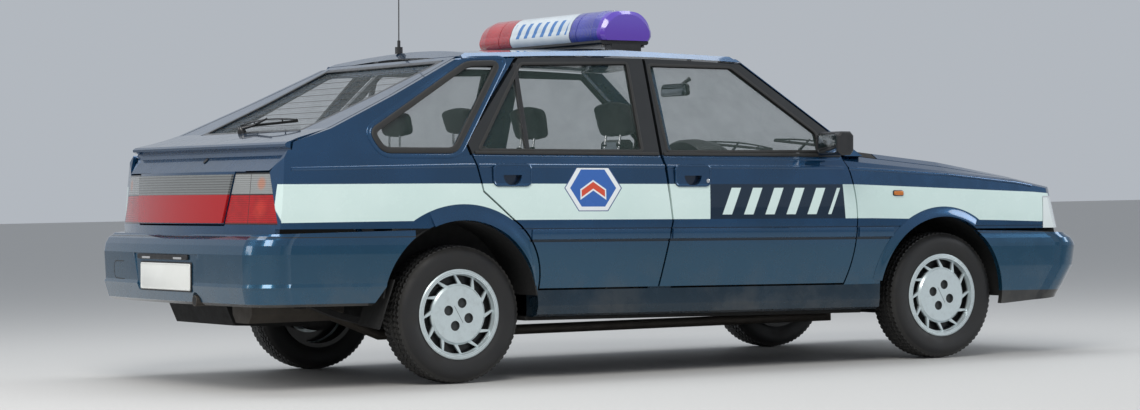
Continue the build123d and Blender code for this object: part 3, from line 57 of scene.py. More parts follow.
def level(x, y, z):
    """Millimetres in the level body to metres in the frame."""
    x, y, z = x / 1000, y / 1000, z / 1000 - RAKE_HEIGHT
    c, s = cos(RAKE), sin(RAKE)
    return Vector((x * c + z * s, y, -x * s + z * c + RAKE_HEIGHT))


BACK = (level(-1, 0, 0) - level(0, 0, 0)).normalized()
UP = Vector((0, 0, 1))


# Shader building

class Field:
    """A value that varies over a surface. Masks combine with &, | and ~."""

    def __init__(self, tree, socket):
        self.tree, self.socket = tree, socket

    def math(self, op, *others, clamp=False):
        return self.tree.node("Math", {0: self, **dict(enumerate(others, 1))}, operation=op, use_clamp=clamp)

    def __invert__(self):
        return self.tree.node("Math", {0: 1.0, 1: self}, operation="SUBTRACT", use_clamp=True)

    def ramp(self, a, b, c=0.0, d=1.0, smooth=False):
        """Straight or smooth from c at a to d at b, and level beyond."""
        ends = {"Value": self, "From Min": a, "From Max": b, "To Min": c, "To Max": d}
        return self.tree.node("MapRange", ends, interpolation_type="SMOOTHSTEP" if smooth else "LINEAR")

    def above(self, limit, soft=0.0006):
        return self.ramp(limit - soft, limit + soft)

    def below(self, limit, soft=0.0006):
        return self.ramp(limit + soft, limit - soft)

    def between(self, lo, hi, soft=0.0006):
        return (self - lo).ramp(-soft, soft).math("SUBTRACT", (self - hi).ramp(-soft, soft), clamp=True)

    def curve(self, points):
        """Straight from point to point of a table of places and values."""
        steps = [self.ramp(x0, x1, 0.0, v1 - v0) for (x0, v0), (x1, v1) in zip(points, points[1:])]
        total = steps[0]
        for step in steps[1:]:
            total = total + step
        return total + points[0][1]

    def ribs(self, pitch):
        """A wave from -1 to 1."""
        return (self * (2 * pi / pitch)).math("SINE")


for word, op in (("add", "ADD"), ("sub", "SUBTRACT"), ("mul", "MULTIPLY"), ("truediv", "DIVIDE"),
                 ("and", "MULTIPLY"), ("or", "MAXIMUM"), ("abs", "ABSOLUTE")):
    setattr(Field, f"__{word}__", lambda self, *others, op=op: self.math(op, *others))


def hypot(a, b):
    return (a * a + b * b).math("SQRT")


class Tree:
    """A material's node tree, written as expressions."""

    SOCKETS = {
        "color": "Base Color", "metallic": "Metallic", "rough": "Roughness", "normal": "Normal",
        "coat": "Coat Weight", "coat_rough": "Coat Roughness", "trans": "Transmission Weight",
        "ior": "IOR", "alpha": "Alpha", "sheen": "Sheen Weight", "sheen_rough": "Sheen Roughness",
        "emit": "Emission Color", "emit_power": "Emission Strength", "spec": "Specular IOR Level",
    }

    def __init__(self, name):
        self.mat = bpy.data.materials.new(name)
        self.mat.use_nodes = True
        self.nodes = self.mat.node_tree.nodes
        self.links = self.mat.node_tree.links
        self.nodes.clear()
        out = self.nodes.new("ShaderNodeOutputMaterial")
        self.shader = self.nodes.new("ShaderNodeBsdfPrincipled")
        self.links.new(self.shader.outputs[0], out.inputs["Surface"])
        self.level_xyz = None

    def put(self, socket, value):
        if isinstance(value, Field):
            self.links.new(value.socket, socket)
        elif hasattr(socket.default_value, "__len__"):
            value = tuple(value)
            socket.default_value = value + (1.0,) * (len(socket.default_value) - len(value))
        else:
            socket.default_value = value

    def node(self, kind, inputs, output=0, **settings):
        n = self.nodes.new("ShaderNode" + kind)
        for key, value in settings.items():
            setattr(n, key, value)
        for key, value in inputs.items():
            self.put(n.inputs[key], value)
        return Field(self, n.outputs[output])

    def set(self, **values):
        for key, value in values.items():
            self.put(self.shader.inputs[self.SOCKETS[key]], value)
        return self.mat

    def place(self):
        return self.node("TexCoord", {}, "Object")

    def frame_xyz(self):
        x = self.node("SeparateXYZ", {0: self.place()})
        return [Field(self, socket) for socket in x.socket.node.outputs]

    def xyz(self):
        """Level-body coordinates x, y, z of the shaded point, in metres."""
        if self.level_xyz is None:
            x, y, z = self.frame_xyz()
            up = z - RAKE_HEIGHT
            c, s = cos(RAKE), sin(RAKE)
            self.level_xyz = x * c - up * s, y, up * c + (x * s + RAKE_HEIGHT)
        return self.level_xyz

    def noise(self, scale, detail=3.0, rough=0.5):
        inputs = {"Vector": self.place(), "Scale": scale, "Detail": detail, "Roughness": rough}
        return self.node("TexNoise", inputs, "Fac")

    def cloud(self, scale, detail, lo=0.0, hi=1.0, smooth=False):
        """Soft patches, from one value to another."""
        return self.noise(scale, detail).ramp(0.3, 0.7, lo, hi, smooth)

    def mix(self, fac, a, b):
        return self.node("Mix", {0: fac, 6: a, 7: b}, 2, data_type="RGBA")

    def bump(self, height, distance, strength, normal=None):
        inputs = {"Strength": strength, "Distance": distance, "Height": height}
        if normal:
            inputs["Normal"] = normal
        return self.node("Bump", inputs)


# Paint

BLUE = (0.008, 0.05, 0.135)
BLUE_DEEP = (0.004, 0.034, 0.092)
# The colour of the painted ground reflection low on the sides.
GROUND_REFLECTION_TEAL = (0.007, 0.058, 0.09)
FLAKE = (0.022, 0.105, 0.215)
STRIPE = (0.66, 0.8, 0.77)
STRIPE_SHADE = (0.6, 0.75, 0.72)
BLACK = (0.012, 0.012, 0.013)
SATIN = (0.01, 0.011, 0.012)
# Painted shade in the slots along the moulding.
MOULDING_SHADE = (0.003, 0.005, 0.008)
DUST = (0.12, 0.11, 0.095)
# Heights along the body in metres, and the half width that only the outer skin exceeds.
STRIPE_TOP = ((-1.95, 0.808), (-1.3, 0.812), (0.8, 0.812), (1.845, 0.779), (1.95, 0.772))
STRIPE_BOTTOM = ((-2.0, 0.653), (-1.2, 0.661), (0.9, 0.661), (1.64, 0.649), (1.873, 0.643))
SKIN_LINE = ((-2.16, 0.7), (-2.04, 0.74), (-1.97, 0.79), (-1.9, 0.794), (-1.165, 0.8105),
             (0.7, 0.8105), (1.344, 0.798), (1.75, 0.783), (2.18, 0.756))
REAR_ARCH = (-1.181, 0.299, 0.428)
FRONT_ARCH = (1.305, 0.32, 0.392)
REAR_HANDLE, FRONT_HANDLE = -953, -60
BAR_MIDDLE = -0.22


def paint_colour(t):
    """Dark metallic blue that varies a little, as a fine flake does, and turns to teal low down, a painted
    reflection of the ground that darkens the lower sides.
    """
    flake = t.node("TexVoronoi", {"Vector": t.place(), "Scale": 900}, "Distance")
    blue = t.mix(t.cloud(2.3, 4, smooth=True), BLUE_DEEP, BLUE)
    # Painted reflection: the lower sides turn darker and teal, as if they reflected the ground.
    blue = t.mix(t.xyz()[2].ramp(0.66, 0.5, 0.0, 0.75, smooth=True), blue, GROUND_REFLECTION_TEAL)
    return t.mix(flake.ramp(0.0, 0.7) * 0.35, blue, FLAKE)


def finish_paint(t, colour, metallic, extra_rough=0.0):
    """Lacquer with orange peel, a slow ripple, faint smears, and dust that gathers low down."""
    normal = t.bump(t.noise(420, 2), 0.00006, 0.08)
    normal = t.bump(t.noise(5, 2), 0.002, 0.03, normal)
    lowness = t.xyz()[2].ramp(0.55, 0.25, smooth=True)
    dust = lowness * t.noise(7, 6, 0.62).ramp(0.38, 0.75, smooth=True) * 0.3
    rough = dust * 0.35 + t.noise(14, 5, 0.6).ramp(0.3, 0.8, 0.2, 0.34) + extra_rough
    return t.set(color=t.mix(dust, colour, DUST), metallic=metallic * ~dust, rough=rough,
                 normal=normal, coat=1.0, coat_rough=0.035, spec=0.2)


def stripe_mask(t):
    """The band along the outer skin: clear of both arches, with a slanted end at the tail."""
    x, y, z = t.xyz()
    mask = z.between(x.curve(STRIPE_BOTTOM), x.curve(STRIPE_TOP))
    for cx, cz, radius in (REAR_ARCH, FRONT_ARCH):
        mask = mask & hypot(x - cx, z - cz).above(radius)
    tail = (z * 0.171 + x).above(-1.8895, 0.001)
    return mask & tail & (abs(y) - x.curve(SKIN_LINE)).ramp(-0.001, 0.0)


def band_colour(t):
    return t.mix(t.cloud(3, 3), STRIPE, STRIPE_SHADE)


def with_moulding_shade(t, colour):
    """Painted shade: dark lines in the slots along both edges of the moulding."""
    z = t.xyz()[2]
    lines = z.between(0.5675, 0.5785) | z.between(0.6235, 0.6255)
    return t.mix(lines * 0.8, colour, MOULDING_SHADE)


def body_side():
    t = Tree("body_side_paint")
    stripe = stripe_mask(t) & t.xyz()[0].between(-2.04, 1.99)
    colour = t.mix(stripe, paint_colour(t), band_colour(t))
    return finish_paint(t, with_moulding_shade(t, colour), ~stripe * 0.72)


def lean_bars(along, up, pitch, share, lean):
    """Plain leaning bars in a row, as a mask."""
    part = ((up * lean + along) / pitch).math("FRACT")
    return part.between(0.5 - share / 2, 0.5 + share / 2, 0.0012 / pitch)


def add_badge(t, colour):
    """A six-sided white badge with a blue field and a small red chevron. Returns its mask as well."""
    x, _, z = t.xyz()
    across, above = abs(x + 0.56), z - 0.794
    up = abs(above)
    size = up / 0.098 | across / 0.142 + up / 0.2
    white = (0.78, 0.82, 0.84)
    for limit, tone in ((1.0, (0.02, 0.06, 0.2)), (0.965, white), (0.8, (0.03, 0.12, 0.42))):
        colour = t.mix(size.below(limit, 0.008), colour, tone)
    rise = abs(across * 0.62 + (above - 0.012))
    for width, height, tone in ((0.0636, 0.0224, white), (0.0576, 0.0144, (0.62, 0.07, 0.03))):
        colour = t.mix(across.below(width) & rise.below(height), colour, tone)
    return colour, size.below(1.0, 0.008)


def door_paint():
    """The band, the dark block with leaning bars, the badge, painted shade round the handle plates and in
    their recesses, and the black frame.
    """
    t = Tree("door_paint")
    x, y, z = t.xyz()
    blue = paint_colour(t)
    block = x.above(0.0304) & (z * 0.1 + x).below(0.8144)
    stripe = stripe_mask(t) & ~block
    bars = lean_bars(x, z, 0.112, 0.44, -0.42) & z.between(0.68, 0.796)
    bars = bars & (z * -0.42 + x).between(-0.245, 0.385)
    colour = t.mix(stripe, blue, band_colour(t))
    colour = t.mix(block & z.between(0.661, 0.812), colour, (0.01, 0.03, 0.06))
    colour, badge = add_badge(t, t.mix(bars, colour, STRIPE))

    from_handle = abs(x - REAR_HANDLE / 1000).math("MINIMUM", abs(x - FRONT_HANDLE / 1000))
    plate = hypot(abs(z - 0.848) - 0.021 | 0.0, from_handle - 0.065 | 0.0)
    colour = t.mix(plate.below(0.026, 0.0002), colour, blue)
    # Painted shadow: a thin dark line round each handle plate.
    colour = t.mix(plate.between(0.0262, 0.0278, 0.0004) * 0.85, colour, (0.006, 0.012, 0.02))
    # Painted shade in the handle recesses.
    recess = from_handle.below(0.04475, 0.00025) & abs(y).below(0.8145, 0.0005)
    recess = recess & z.below(0.848, 0.0005) & z.above(0.8033, 0.0003)
    colour = with_moulding_shade(t, t.mix(recess * 0.7, colour, (0.004, 0.006, 0.01)))

    window_frame = z.above(0.935, 0.0005)
    painted = ~(stripe | bars | badge) * ~window_frame
    return finish_paint(t, t.mix(window_frame, colour, SATIN), painted * 0.72, window_frame * 0.12)


def plain_blue(name="blue_paint", shade=0.0):
    """Body colour, darkened towards near black by a share in soft patches, as painted shade."""
    t = Tree(name)
    # Painted shade: the colour goes towards near black by the share, a little less in patches.
    shading = t.cloud(5, 5, shade, shade * 0.9)
    colour = t.mix(shading, paint_colour(t), (0.006, 0.009, 0.012))
    return finish_paint(t, colour, t.noise(1).ramp(0, 1, 0.6, 0.7))


def bumper_paint():
    """Blue bumper skin with a dark textured band low down and a dark line under its top."""
    t = Tree("bumper_paint")
    z = t.xyz()[2]
    band = z.below(0.326, 0.001) | z.between(0.5925, 0.5965)
    return finish_paint(t, t.mix(band, paint_colour(t), SATIN), ~band * 0.65, band * 0.3)


# Plastic, metal, rubber, glass and cloth

def plastic(name, colour=BLACK, rough=0.5, grain=600.0, depth=0.25, wear=0.3, coat=0.0):
    t = Tree(name)
    worn = t.noise(9, 6, 0.6).ramp(0.35, 0.75, smooth=True)
    light = [min(1.0, c * 1.7 + 0.012) for c in colour]
    return t.set(color=t.mix(worn * wear, colour, light),
                 rough=t.cloud(30, 4, rough - 0.07, rough + 0.08),
                 normal=t.bump(t.noise(grain, 2), 0.0003, depth), coat=coat)


def metal(name, colour, rough, grain, metallic, dirt):
    t = Tree(name)
    grime = t.noise(12, 7, 0.65).ramp(0.42, 0.72, smooth=True)
    return t.set(color=t.mix(grime * dirt, colour, [c * 0.35 for c in colour]),
                 rough=t.cloud(22, 5, rough - 0.06, rough + 0.12),
                 metallic=metallic, normal=t.bump(t.noise(grain, 2), 0.0002, 0.2))


def rubber(name, colour, dust):
    t = Tree(name)
    film = t.noise(11, 6, 0.65).ramp(0.4, 0.8, smooth=True)
    return t.set(color=t.mix(film * dust, colour, (0.1, 0.092, 0.08)),
                 rough=film.ramp(0, 1, 0.55, 0.85), normal=t.bump(t.noise(260, 3), 0.0004, 0.35))


def from_axle(t):
    """Distance from the nearest axle in the side view, and the depth outward from the wheel's middle."""
    x, y, z = t.frame_xyz()
    axle = x.ramp(0.0, 0.001, REAR_AXLE, FRONT_AXLE)
    return hypot(x - axle, z - TYRE_RADIUS), abs(y) - HALF_TRACK


def wheel_silver():
    """Silver lacquer with painted shade in the openings, the bolt pockets and over the wheel's inner side,
    and a fine double line on the flange.
    """
    t = Tree("wheel_silver")
    r, depth = from_axle(t)
    # Painted shade: the openings, the bolt pockets and the inner side go nearly black, with less metal.
    opening = depth.ramp(0.061, 0.048, smooth=True) & r.above(0.123, 0.001) & r.ramp(0.1665, 0.164)
    pocket = depth.ramp(0.0712, 0.0695) & r.below(0.0725, 0.0005)
    dark = opening | pocket * 0.95 | depth.ramp(0.002, -0.006)
    line = r.between(0.1725, 0.174, 0.0003) | r.between(0.1795, 0.1805, 0.0003)
    grime = t.noise(26, 7, 0.65).ramp(0.4, 0.75, smooth=True)
    tone = t.mix(grime * 0.3, (0.6, 0.68, 0.7), (0.33, 0.36, 0.36))
    tone = t.mix(line * 0.6, tone, (0.16, 0.18, 0.18))
    return t.set(color=t.mix(dark, tone, (0.012, 0.013, 0.014)), metallic=~dark * 0.45,
                 rough=grime.ramp(0, 1, 0.28, 0.46), coat=0.3, coat_rough=0.08, spec=0.3,
                 normal=t.bump(t.noise(500, 2) * 0.08 - line, 0.0006, 0.5))


def tyre_rubber():
    """Black rubber with a dusty tread and fine circular lines on the wall."""
    t = Tree("tyre_rubber")
    r = from_axle(t)[0]
    film = t.noise(13, 7, 0.65).ramp(0.38, 0.8, smooth=True)
    rings = (r.ribs(0.0042) * 0.5 + 0.5) & r.between(0.238, 0.262)
    tone = t.mix(film * 0.25, (0.008, 0.008, 0.009), (0.06, 0.056, 0.05))
    tone = t.mix(r.above(0.269, 0.003) * 0.25, tone, (0.06, 0.057, 0.05))
    return t.set(color=tone, rough=film.ramp(0, 1, 0.55, 0.85),
                 normal=t.bump(t.noise(240, 3) * 0.3 + rings * 0.5, 0.0006, 0.6))


def window_glass():
    t = Tree("window_glass")
    t.mat.surface_render_method = "BLENDED"
    film = t.noise(6, 5, 0.6).ramp(0.35, 0.8, smooth=True)
    return t.set(color=t.mix(film, (0.06, 0.1, 0.09), (0.0558, 0.093, 0.0837)), rough=film * 0.05,
                 alpha=film.ramp(0, 1, 0.15, 0.21), ior=1.45, coat=1.0, coat_rough=0.01,
                 normal=t.bump(t.noise(3, 2), 0.0006, 0.02))


def marker_lens():
    t = Tree("amber_marker")
    amber = (0.8, 0.22, 0.01)
    # A faint painted glow: the unlit lens emits a little amber light.
    return t.set(color=t.mix(t.cloud(18, 4), amber, [c * 0.78 for c in amber]),
                 rough=t.cloud(40, 3, 0.084, 0.168), trans=0.2, ior=1.49, coat=1.0,
                 coat_rough=0.02, emit=amber, emit_power=0.03,
                 normal=t.bump(t.xyz()[0].ribs(0.005), 0.0016, 0.55))


def seat_cloth():
    """Dark woven cloth with a paler thread."""
    t = Tree("seat_cloth")
    wave = t.node("TexWave", {"Scale": 1100 / 6, "Distortion": 1.5, "Vector": t.place()}, "Fac")
    weave = wave * t.cloud(1100, 2)
    tone = t.mix(t.cloud(25, 5), (0.013, 0.014, 0.018), (0.0334, 0.0352, 0.0424))
    return t.set(color=t.mix(weave * 0.5, tone, (0.045, 0.048, 0.055)), rough=weave.ramp(0, 1, 0.8, 0.95),
                 normal=t.bump(weave, 0.0006, 0.6), sheen=0.3, sheen_rough=0.5)


# Lamps

LAMP_SPLIT = 0.768  # where the grey part of the tail meets the red one


def garnish_lens():
    """The panel between the tail lamps: ribbed grey above, plain red below."""
    t = Tree("garnish_lens")
    z = t.xyz()[2]
    upper = z.above(LAMP_SPLIT, 0.001)
    ribs = z.ribs(0.0105) * upper
    tone = t.mix(upper, (0.36, 0.006, 0.008), (0.17, 0.18, 0.18))
    return t.set(color=t.mix(ribs.ramp(0, 1, 0.0, 0.45), tone, (0.02, 0.015, 0.015)),
                 rough=t.cloud(40, 3, 0.12, 0.25), coat=0.5, coat_rough=0.03, spec=0.2,
                 normal=t.bump(ribs, 0.0018, 0.7))


def tail_lamp_lens():
    """Grey above red, with a dark frame and gaps, and two bulbs that show through with a painted glow round
    each.
    """
    t = Tree("tail_lamp_lens")
    _, y, z = t.xyz()
    side = abs(y)
    upper = z.above(LAMP_SPLIT, 0.001)
    tone = t.mix(upper, (0.38, 0.006, 0.008), (0.26, 0.27, 0.27))
    tone = t.mix(z.between(0.7655, 0.77) | side.between(0.6, 0.603), tone, (0.02, 0.01, 0.01))
    tone = t.mix(~z.between(0.652, 0.85, 0.002), tone, (0.015, 0.015, 0.015))
    # The bulbs' own amber and red, spread into a soft painted glow behind the lens.
    for height, wide, tight, share, painted_glow in ((0.812, 0.034, 0.012, 0.55, (0.55, 0.16, 0.05)),
                                             (0.708, 0.055, 0.015, 0.45, (0.6, 0.05, 0.03))):
        bulb = hypot(side - 0.672, z - height).ramp(wide, tight, 0.0, share, smooth=True)
        tone = t.mix(bulb, tone, painted_glow)
    tone = t.mix(~upper * t.noise(24, 4).ramp(0.45, 0.7, 0.0, 0.35), tone, (0.16, 0.004, 0.006))
    return t.set(color=tone, rough=t.cloud(40, 3, 0.1, 0.22), coat=0.5,
                 coat_rough=0.02, spec=0.2, normal=t.bump(z.ribs(0.0085), 0.0014, 0.6))


def dome_lens():
    """The light-bar domes: red and violet ends, ribbed across the bar, a pale centre with plain bars, and a
    painted highlight that brightens the tinted ends towards the top.
    """
    t = Tree("light_bar_dome")
    x, y, z = t.xyz()
    off = abs(y)
    red, violet = y.above(0.241, 0.001), y.below(-0.288, 0.001)
    tinted, cap = red | violet, off.above(0.514, 0.002)
    cloud = t.cloud(9, 4, smooth=True)
    tone = t.mix(red, t.mix(cloud, (0.74, 0.8, 0.84), (0.62, 0.7, 0.76)),
                 t.mix(cloud, (0.52, 0.02, 0.03), (0.36, 0.012, 0.022)))
    tone = t.mix(violet, tone, t.mix(cloud, (0.03, 0.045, 0.42), (0.02, 0.03, 0.28)))
    tone = t.mix(violet & cap, tone, (0.1, 0.03, 0.42))
    bars = lean_bars(y, z, 0.072, 0.42, 0.25) & y.between(-0.262, 0.218) & z.between(1.474, 1.542)
    tone = t.mix(bars & abs(x - BAR_MIDDLE).above(0.022, 0.002), tone, (0.045, 0.19, 0.5))
    tone = t.mix(red & off.above(0.54425, 0.00075), tone, (0.6, 0.62, 0.64))
    seam = y.between(0.2385, 0.2425) | y.between(-0.2895, -0.2855)
    tone = t.mix(seam, tone, (0.01, 0.01, 0.014))
    ribs, ribbed = y.ribs(0.0125), tinted & ~cap
    tone = t.mix(ribbed & ribs.ramp(-0.9, -0.2, 0.4, 0.0), tone, (0.02, 0.01, 0.03))
    # Painted highlight: the tinted ends grow brighter towards the top, as if lit from above.
    painted_glow = z.ramp(1.445, 1.56, smooth=True) * 0.35
    tone = t.mix(painted_glow & tinted, tone, t.mix(red, (0.16, 0.14, 0.62), (0.72, 0.1, 0.09)))
    return t.set(color=tone, rough=t.cloud(30, 3, 0.08, 0.18), coat=1.0,
                 coat_rough=0.02, trans=0.12, ior=1.49, normal=t.bump(ribs * ribbed, 0.0012, 0.5))


def headlamp_lens():
    """Fluted glass over a reflector bowl with painted reflection, bright in the middle and darker outward,
    with a paler corner lens.
    """
    t = Tree("headlamp_lens")
    _, y, z = t.xyz()
    off = abs(y)
    corner = off.above(0.665, 0.001)
    bowl = hypot(off - 0.575, z - 0.683)
    # Painted reflection in the bowl: pale at the middle, darker towards its rim.
    tone = t.mix(bowl.ramp(0.02, 0.105, smooth=True), (0.72, 0.76, 0.78), (0.22, 0.25, 0.27))
    tone = t.mix(bowl.below(0.015, 0.002), tone, (0.9, 0.9, 0.86))
    tone = t.mix(corner, tone, (0.74, 0.8, 0.8))
    tone = t.mix(off.between(0.6635, 0.6665), tone, (0.02, 0.02, 0.02))
    return t.set(color=tone, rough=t.cloud(40, 3, 0.05, 0.12), coat=1.0,
                 coat_rough=0.02, metallic=~corner * 0.55, normal=t.bump(y.ribs(0.0095), 0.0014, 0.5))


LOOKS = {
    # The sill's paint is darkened by painted shade, so it looks dark low down.
    "side": body_side(), "door": door_paint(), "blue": plain_blue(), "sill": plain_blue("sill_painted_shade", 0.72),
    "bumper": bumper_paint(), "tyre": tyre_rubber(), "silver": wheel_silver(), "glass": window_glass(),
    "cloth": seat_cloth(), "garnish": garnish_lens(), "tail_lamp": tail_lamp_lens(), "dome": dome_lens(),
    "headlamp": headlamp_lens(), "amber": marker_lens(),
    # plastic: colour, roughness, grain, its depth, wear, coat
    "black": plastic("black_plastic"),
    "satin": plastic("satin_black", (0.01, 0.01, 0.011), 0.32, 900, 0.08, 0.15, 0.3),
    "under": plastic("underbody_black", (0.008, 0.008, 0.008), 0.85, 140, 0.6, 0.06),
    "trim": plastic("door_card", (0.04, 0.043, 0.05), 0.6, 700, 0.5, 0.15),
    "plate": plastic("plate_white", (0.72, 0.73, 0.7), 0.35, 500, 0.1, 0.15, 0.4),
    "light_grey": plastic("pale_grey_plastic", (0.36, 0.37, 0.38), 0.45, 500, 0.25, 0.15),
    # metal: colour, roughness, grain, metallic share, dirt
    "mirror": metal("mirror_glass", (0.34, 0.37, 0.4), 0.05, 60, 1.0, 0.06),
    "chrome": metal("bright_steel", (0.75, 0.76, 0.77), 0.14, 200, 1.0, 0.1),
    "cast": metal("cast_iron", (0.1, 0.1, 0.1), 0.6, 90, 0.8, 0.5),
    "steel": metal("dull_steel", (0.085, 0.075, 0.065), 0.6, 160, 0.7, 0.25),
    # rubber: colour, dust
    "rubber": rubber("seal_rubber", (0.012, 0.012, 0.012), 0.08),
    "soot": rubber("pipe_soot", (0.004, 0.004, 0.004), 0.05),
}

CAD_LOOKS = {
    "door": "door_front_right door_front_left door_rear_right door_rear_left",
    "side": "quarter_panels front_fenders",
    "blue": "roof_panel hood tailgate rear_panel body_pillars",
    "sill": "side_sills",
    "bumper": "front_bumper rear_bumper",
    "satin": "mirror_right mirror_left grille light_bar_base roof_antenna",
    "black": "dashboard steering_wheel",
    "under": "floor_pan wheel_houses bulkhead front_panel fuel_tank rear_axle prop_shaft front_suspension",
    "glass": "glass_front_right glass_front_left glass_rear_right glass_rear_left fixed_glass tailgate_glass",
    "cast": "engine knuckle_right knuckle_left",
    "steel": "exhaust",
    "cloth": "front_seats rear_seat",
    "headlamp": "headlamps",
    "garnish": "tailgate_garnish",
    "tail_lamp": "tail_lamps",
    "dome": "light_bar_lenses",
    "tyre": "tyre_front_right tyre_front_left tyre_rear_right tyre_rear_left",
    "silver": "wheel_front_right wheel_front_left wheel_rear_right wheel_rear_left",
}
CREASED = CAD_LOOKS["door"] + " " + CAD_LOOKS["side"]


def shade_smooth(mesh, sharp):
    """Smooth shading, with edges sharper than an angle in degrees left sharp."""
    for polygon in mesh.polygons:
        polygon.use_smooth = True
    mesh.set_sharp_from_angle(angle=radians(sharp))


for look, names in CAD_LOOKS.items():
    for name in names.split():
        data = nodes[name].data
        data.materials.clear()
        data.materials.append(LOOKS[look])
        shade_smooth(data, 15 if name in CREASED.split() else 28)


# Building pieces

def new_object(name, mesh, look, slot):
    """A piece in the given look, which rides on the body of the CAD node that the slot names."""
    obj = bpy.data.objects.new(name, mesh)
    scene.collection.objects.link(obj)
    mesh.materials.append(LOOKS[look])
    body = BODY_OF[slot]
    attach(obj, body)
    return obj


def mesh_of(name, verts, faces):
    mesh = bpy.data.meshes.new(name)
    mesh.from_pydata([tuple(v) for v in verts], [], faces)
    bm = bmesh.new()
    bm.from_mesh(mesh)
    bmesh.ops.recalc_face_normals(bm, faces=bm.faces)
    bm.to_mesh(mesh)
    bm.free()
    return mesh


def skin(name, rings, look, slot, sharp, closed=False):
    """A surface through rings of points, closed end to end or with flat ends."""
    n, k = len(rings), len(rings[0])
    faces = []
    for i in range(n if closed else n - 1):
        a, b = i * k, (i + 1) % n * k
        faces += [(a + c, b + c, b + (c + 1) % k, a + (c + 1) % k) for c in range(k)]
    if not closed:
        faces += [tuple(range(k)), tuple(range((n - 1) * k, n * k))]
    mesh = mesh_of(name, [p for ring in rings for p in ring], faces)
    shade_smooth(mesh, sharp)
    return new_object(name, mesh, look, slot)


def directions(path, closed):
    """The direction of travel at each point."""
    last = len(path) - 1
    for i, p in enumerate(path):
        a = path[i - 1] if closed or i else p
        b = path[(i + 1) % (last + 1)] if closed or i < last else p
        yield (b - a).normalized()


def strip(name, path, ups, profile, look, slot, closed=False):
    """A strip along a path, with one up direction or a list. The section is across and up, in metres."""
    rings = []
    ups = [ups] * len(path) if isinstance(ups, Vector) else ups
    for p, up, along in zip(path, ups, directions(path, closed)):
        up = (up - along * up.dot(along)).normalized()
        across = along.cross(up)
        rings.append([p + across * u + up * v for u, v in profile])
    return skin(name, rings, look, slot, 35, closed)


def circle(u, v, count):
    turns = (2 * pi * k / count for k in range(count))
    return [u * cos(a) + v * sin(a) for a in turns]


def tube(name, points, radius, look, slot, sides=10, closed=False):
    """A round bar through the points, thinner or thicker at each where a list of radii is given."""
    radii = radius if isinstance(radius, list) else [radius] * len(points)
    rings = []
    for p, r, along in zip(points, radii, directions(points, closed)):
        u = along.cross(UP if abs(along.z) < 0.9 else Vector((1, 0, 0))).normalized()
        rings.append([p + q * r for q in circle(u, along.cross(u), sides)])
    return skin(name, rings, look, slot, 50, closed)


def ring_tube(name, middle, u, v, radius, thick, look, slot, sides=40):
    """A thin round ring in the plane of two directions. Returns the line that it follows."""
    line = [middle + q * radius for q in circle(Vector(u), Vector(v), sides)]
    tube(name, line, thick, look, slot, 8, True)
    return line


def stud(name, foot, out, steps, look, slot, sides):
    """A turned piece on a surface. Each step is a height along out and a radius, in millimetres."""
    points = [foot + out * height / 1000 for height, _ in steps]
    return tube(name, points, [radius / 1000 for _, radius in steps], look, slot, sides)


def slab(name, outline, move, bevel, segments, sharp=0.6):
    """A mesh of an outline thickened by a move, with its sharper edges eased."""
    bm = bmesh.new()
    face = bm.faces.new([bm.verts.new(p) for p in outline])
    grown = bmesh.ops.extrude_face_region(bm, geom=[face])
    top = [v for v in grown["geom"] if isinstance(v, bmesh.types.BMVert)]
    bmesh.ops.translate(bm, verts=top, vec=move)
    bmesh.ops.recalc_face_normals(bm, faces=bm.faces)
    if bevel:
        edges = [e for e in bm.edges if e.calc_face_angle(0) > sharp]
        bmesh.ops.bevel(bm, geom=edges, offset=bevel, segments=segments, affect="EDGES", profile=0.5,
                        clamp_overlap=True)
    mesh = bpy.data.meshes.new(name)
    bm.to_mesh(mesh)
    bm.free()
    return mesh


def plate_piece(name, outline, out, thickness, look, slot, bevel, segments=2):
    """A flat plate from an outline of frame points, thickened along out, with eased edges."""
    mesh = slab(name, outline, out.normalized() * thickness, bevel, segments)
    shade_smooth(mesh, 30)
    return new_object(name, mesh, look, slot)


def rounded(points, radius, closed=True, steps=6):
    """A polyline with its corners turned into curves."""
    pts = [Vector(p) for p in points]
    out = []
    for i, p in enumerate(pts):
        if not closed and i in (0, len(pts) - 1):
            out.append(p)
            continue
        a, b = pts[i - 1], pts[(i + 1) % len(pts)]
        r = min(radius, 0.45 * (a - p).length, 0.45 * (b - p).length)
        start, end = p + (a - p).normalized() * r, p + (b - p).normalized() * r
        for u in (k / steps for k in range(steps + 1)):
            out.append(start * (1 - u) ** 2 + p * 2 * u * (1 - u) + end * u ** 2)
    return out


def rect(a0, a1, b0, b1, radius, steps=5):
    return rounded(((a0, b0), (a1, b0), (a1, b1), (a0, b1)), radius, True, steps)


def spaced(points, pitch, closed=False):
    """The same polyline with more points, no further apart than the pitch."""
    pts = [Vector(p) for p in points]
    out = []
    for a, b in zip(pts, pts[1:] + pts[:1] if closed else pts[1:]):
        n = max(1, ceil((b - a).length / pitch))
        out += [a.lerp(b, k / n) for k in range(n)]
    return out if closed else out + [pts[-1]]


def grow(outline, amount):
    """The outline moved outward, corner by corner."""
    pts = [Vector(p) for p in outline]
    area = sum(a.x * b.y - b.x * a.y for a, b in zip(pts, pts[1:] + pts[:1]))
    sign = 1 if area > 0 else -1
    out = []
    for i, p in enumerate(pts):
        a, b = (p - pts[i - 1]).normalized(), (pts[(i + 1) % len(pts)] - p).normalized()
        na, nb = Vector((a.y, -a.x)) * sign, Vector((b.y, -b.x)) * sign
        m = (na + nb).normalized()
        out.append(p + m * (amount / max(0.35, m.dot(na))))
    return out


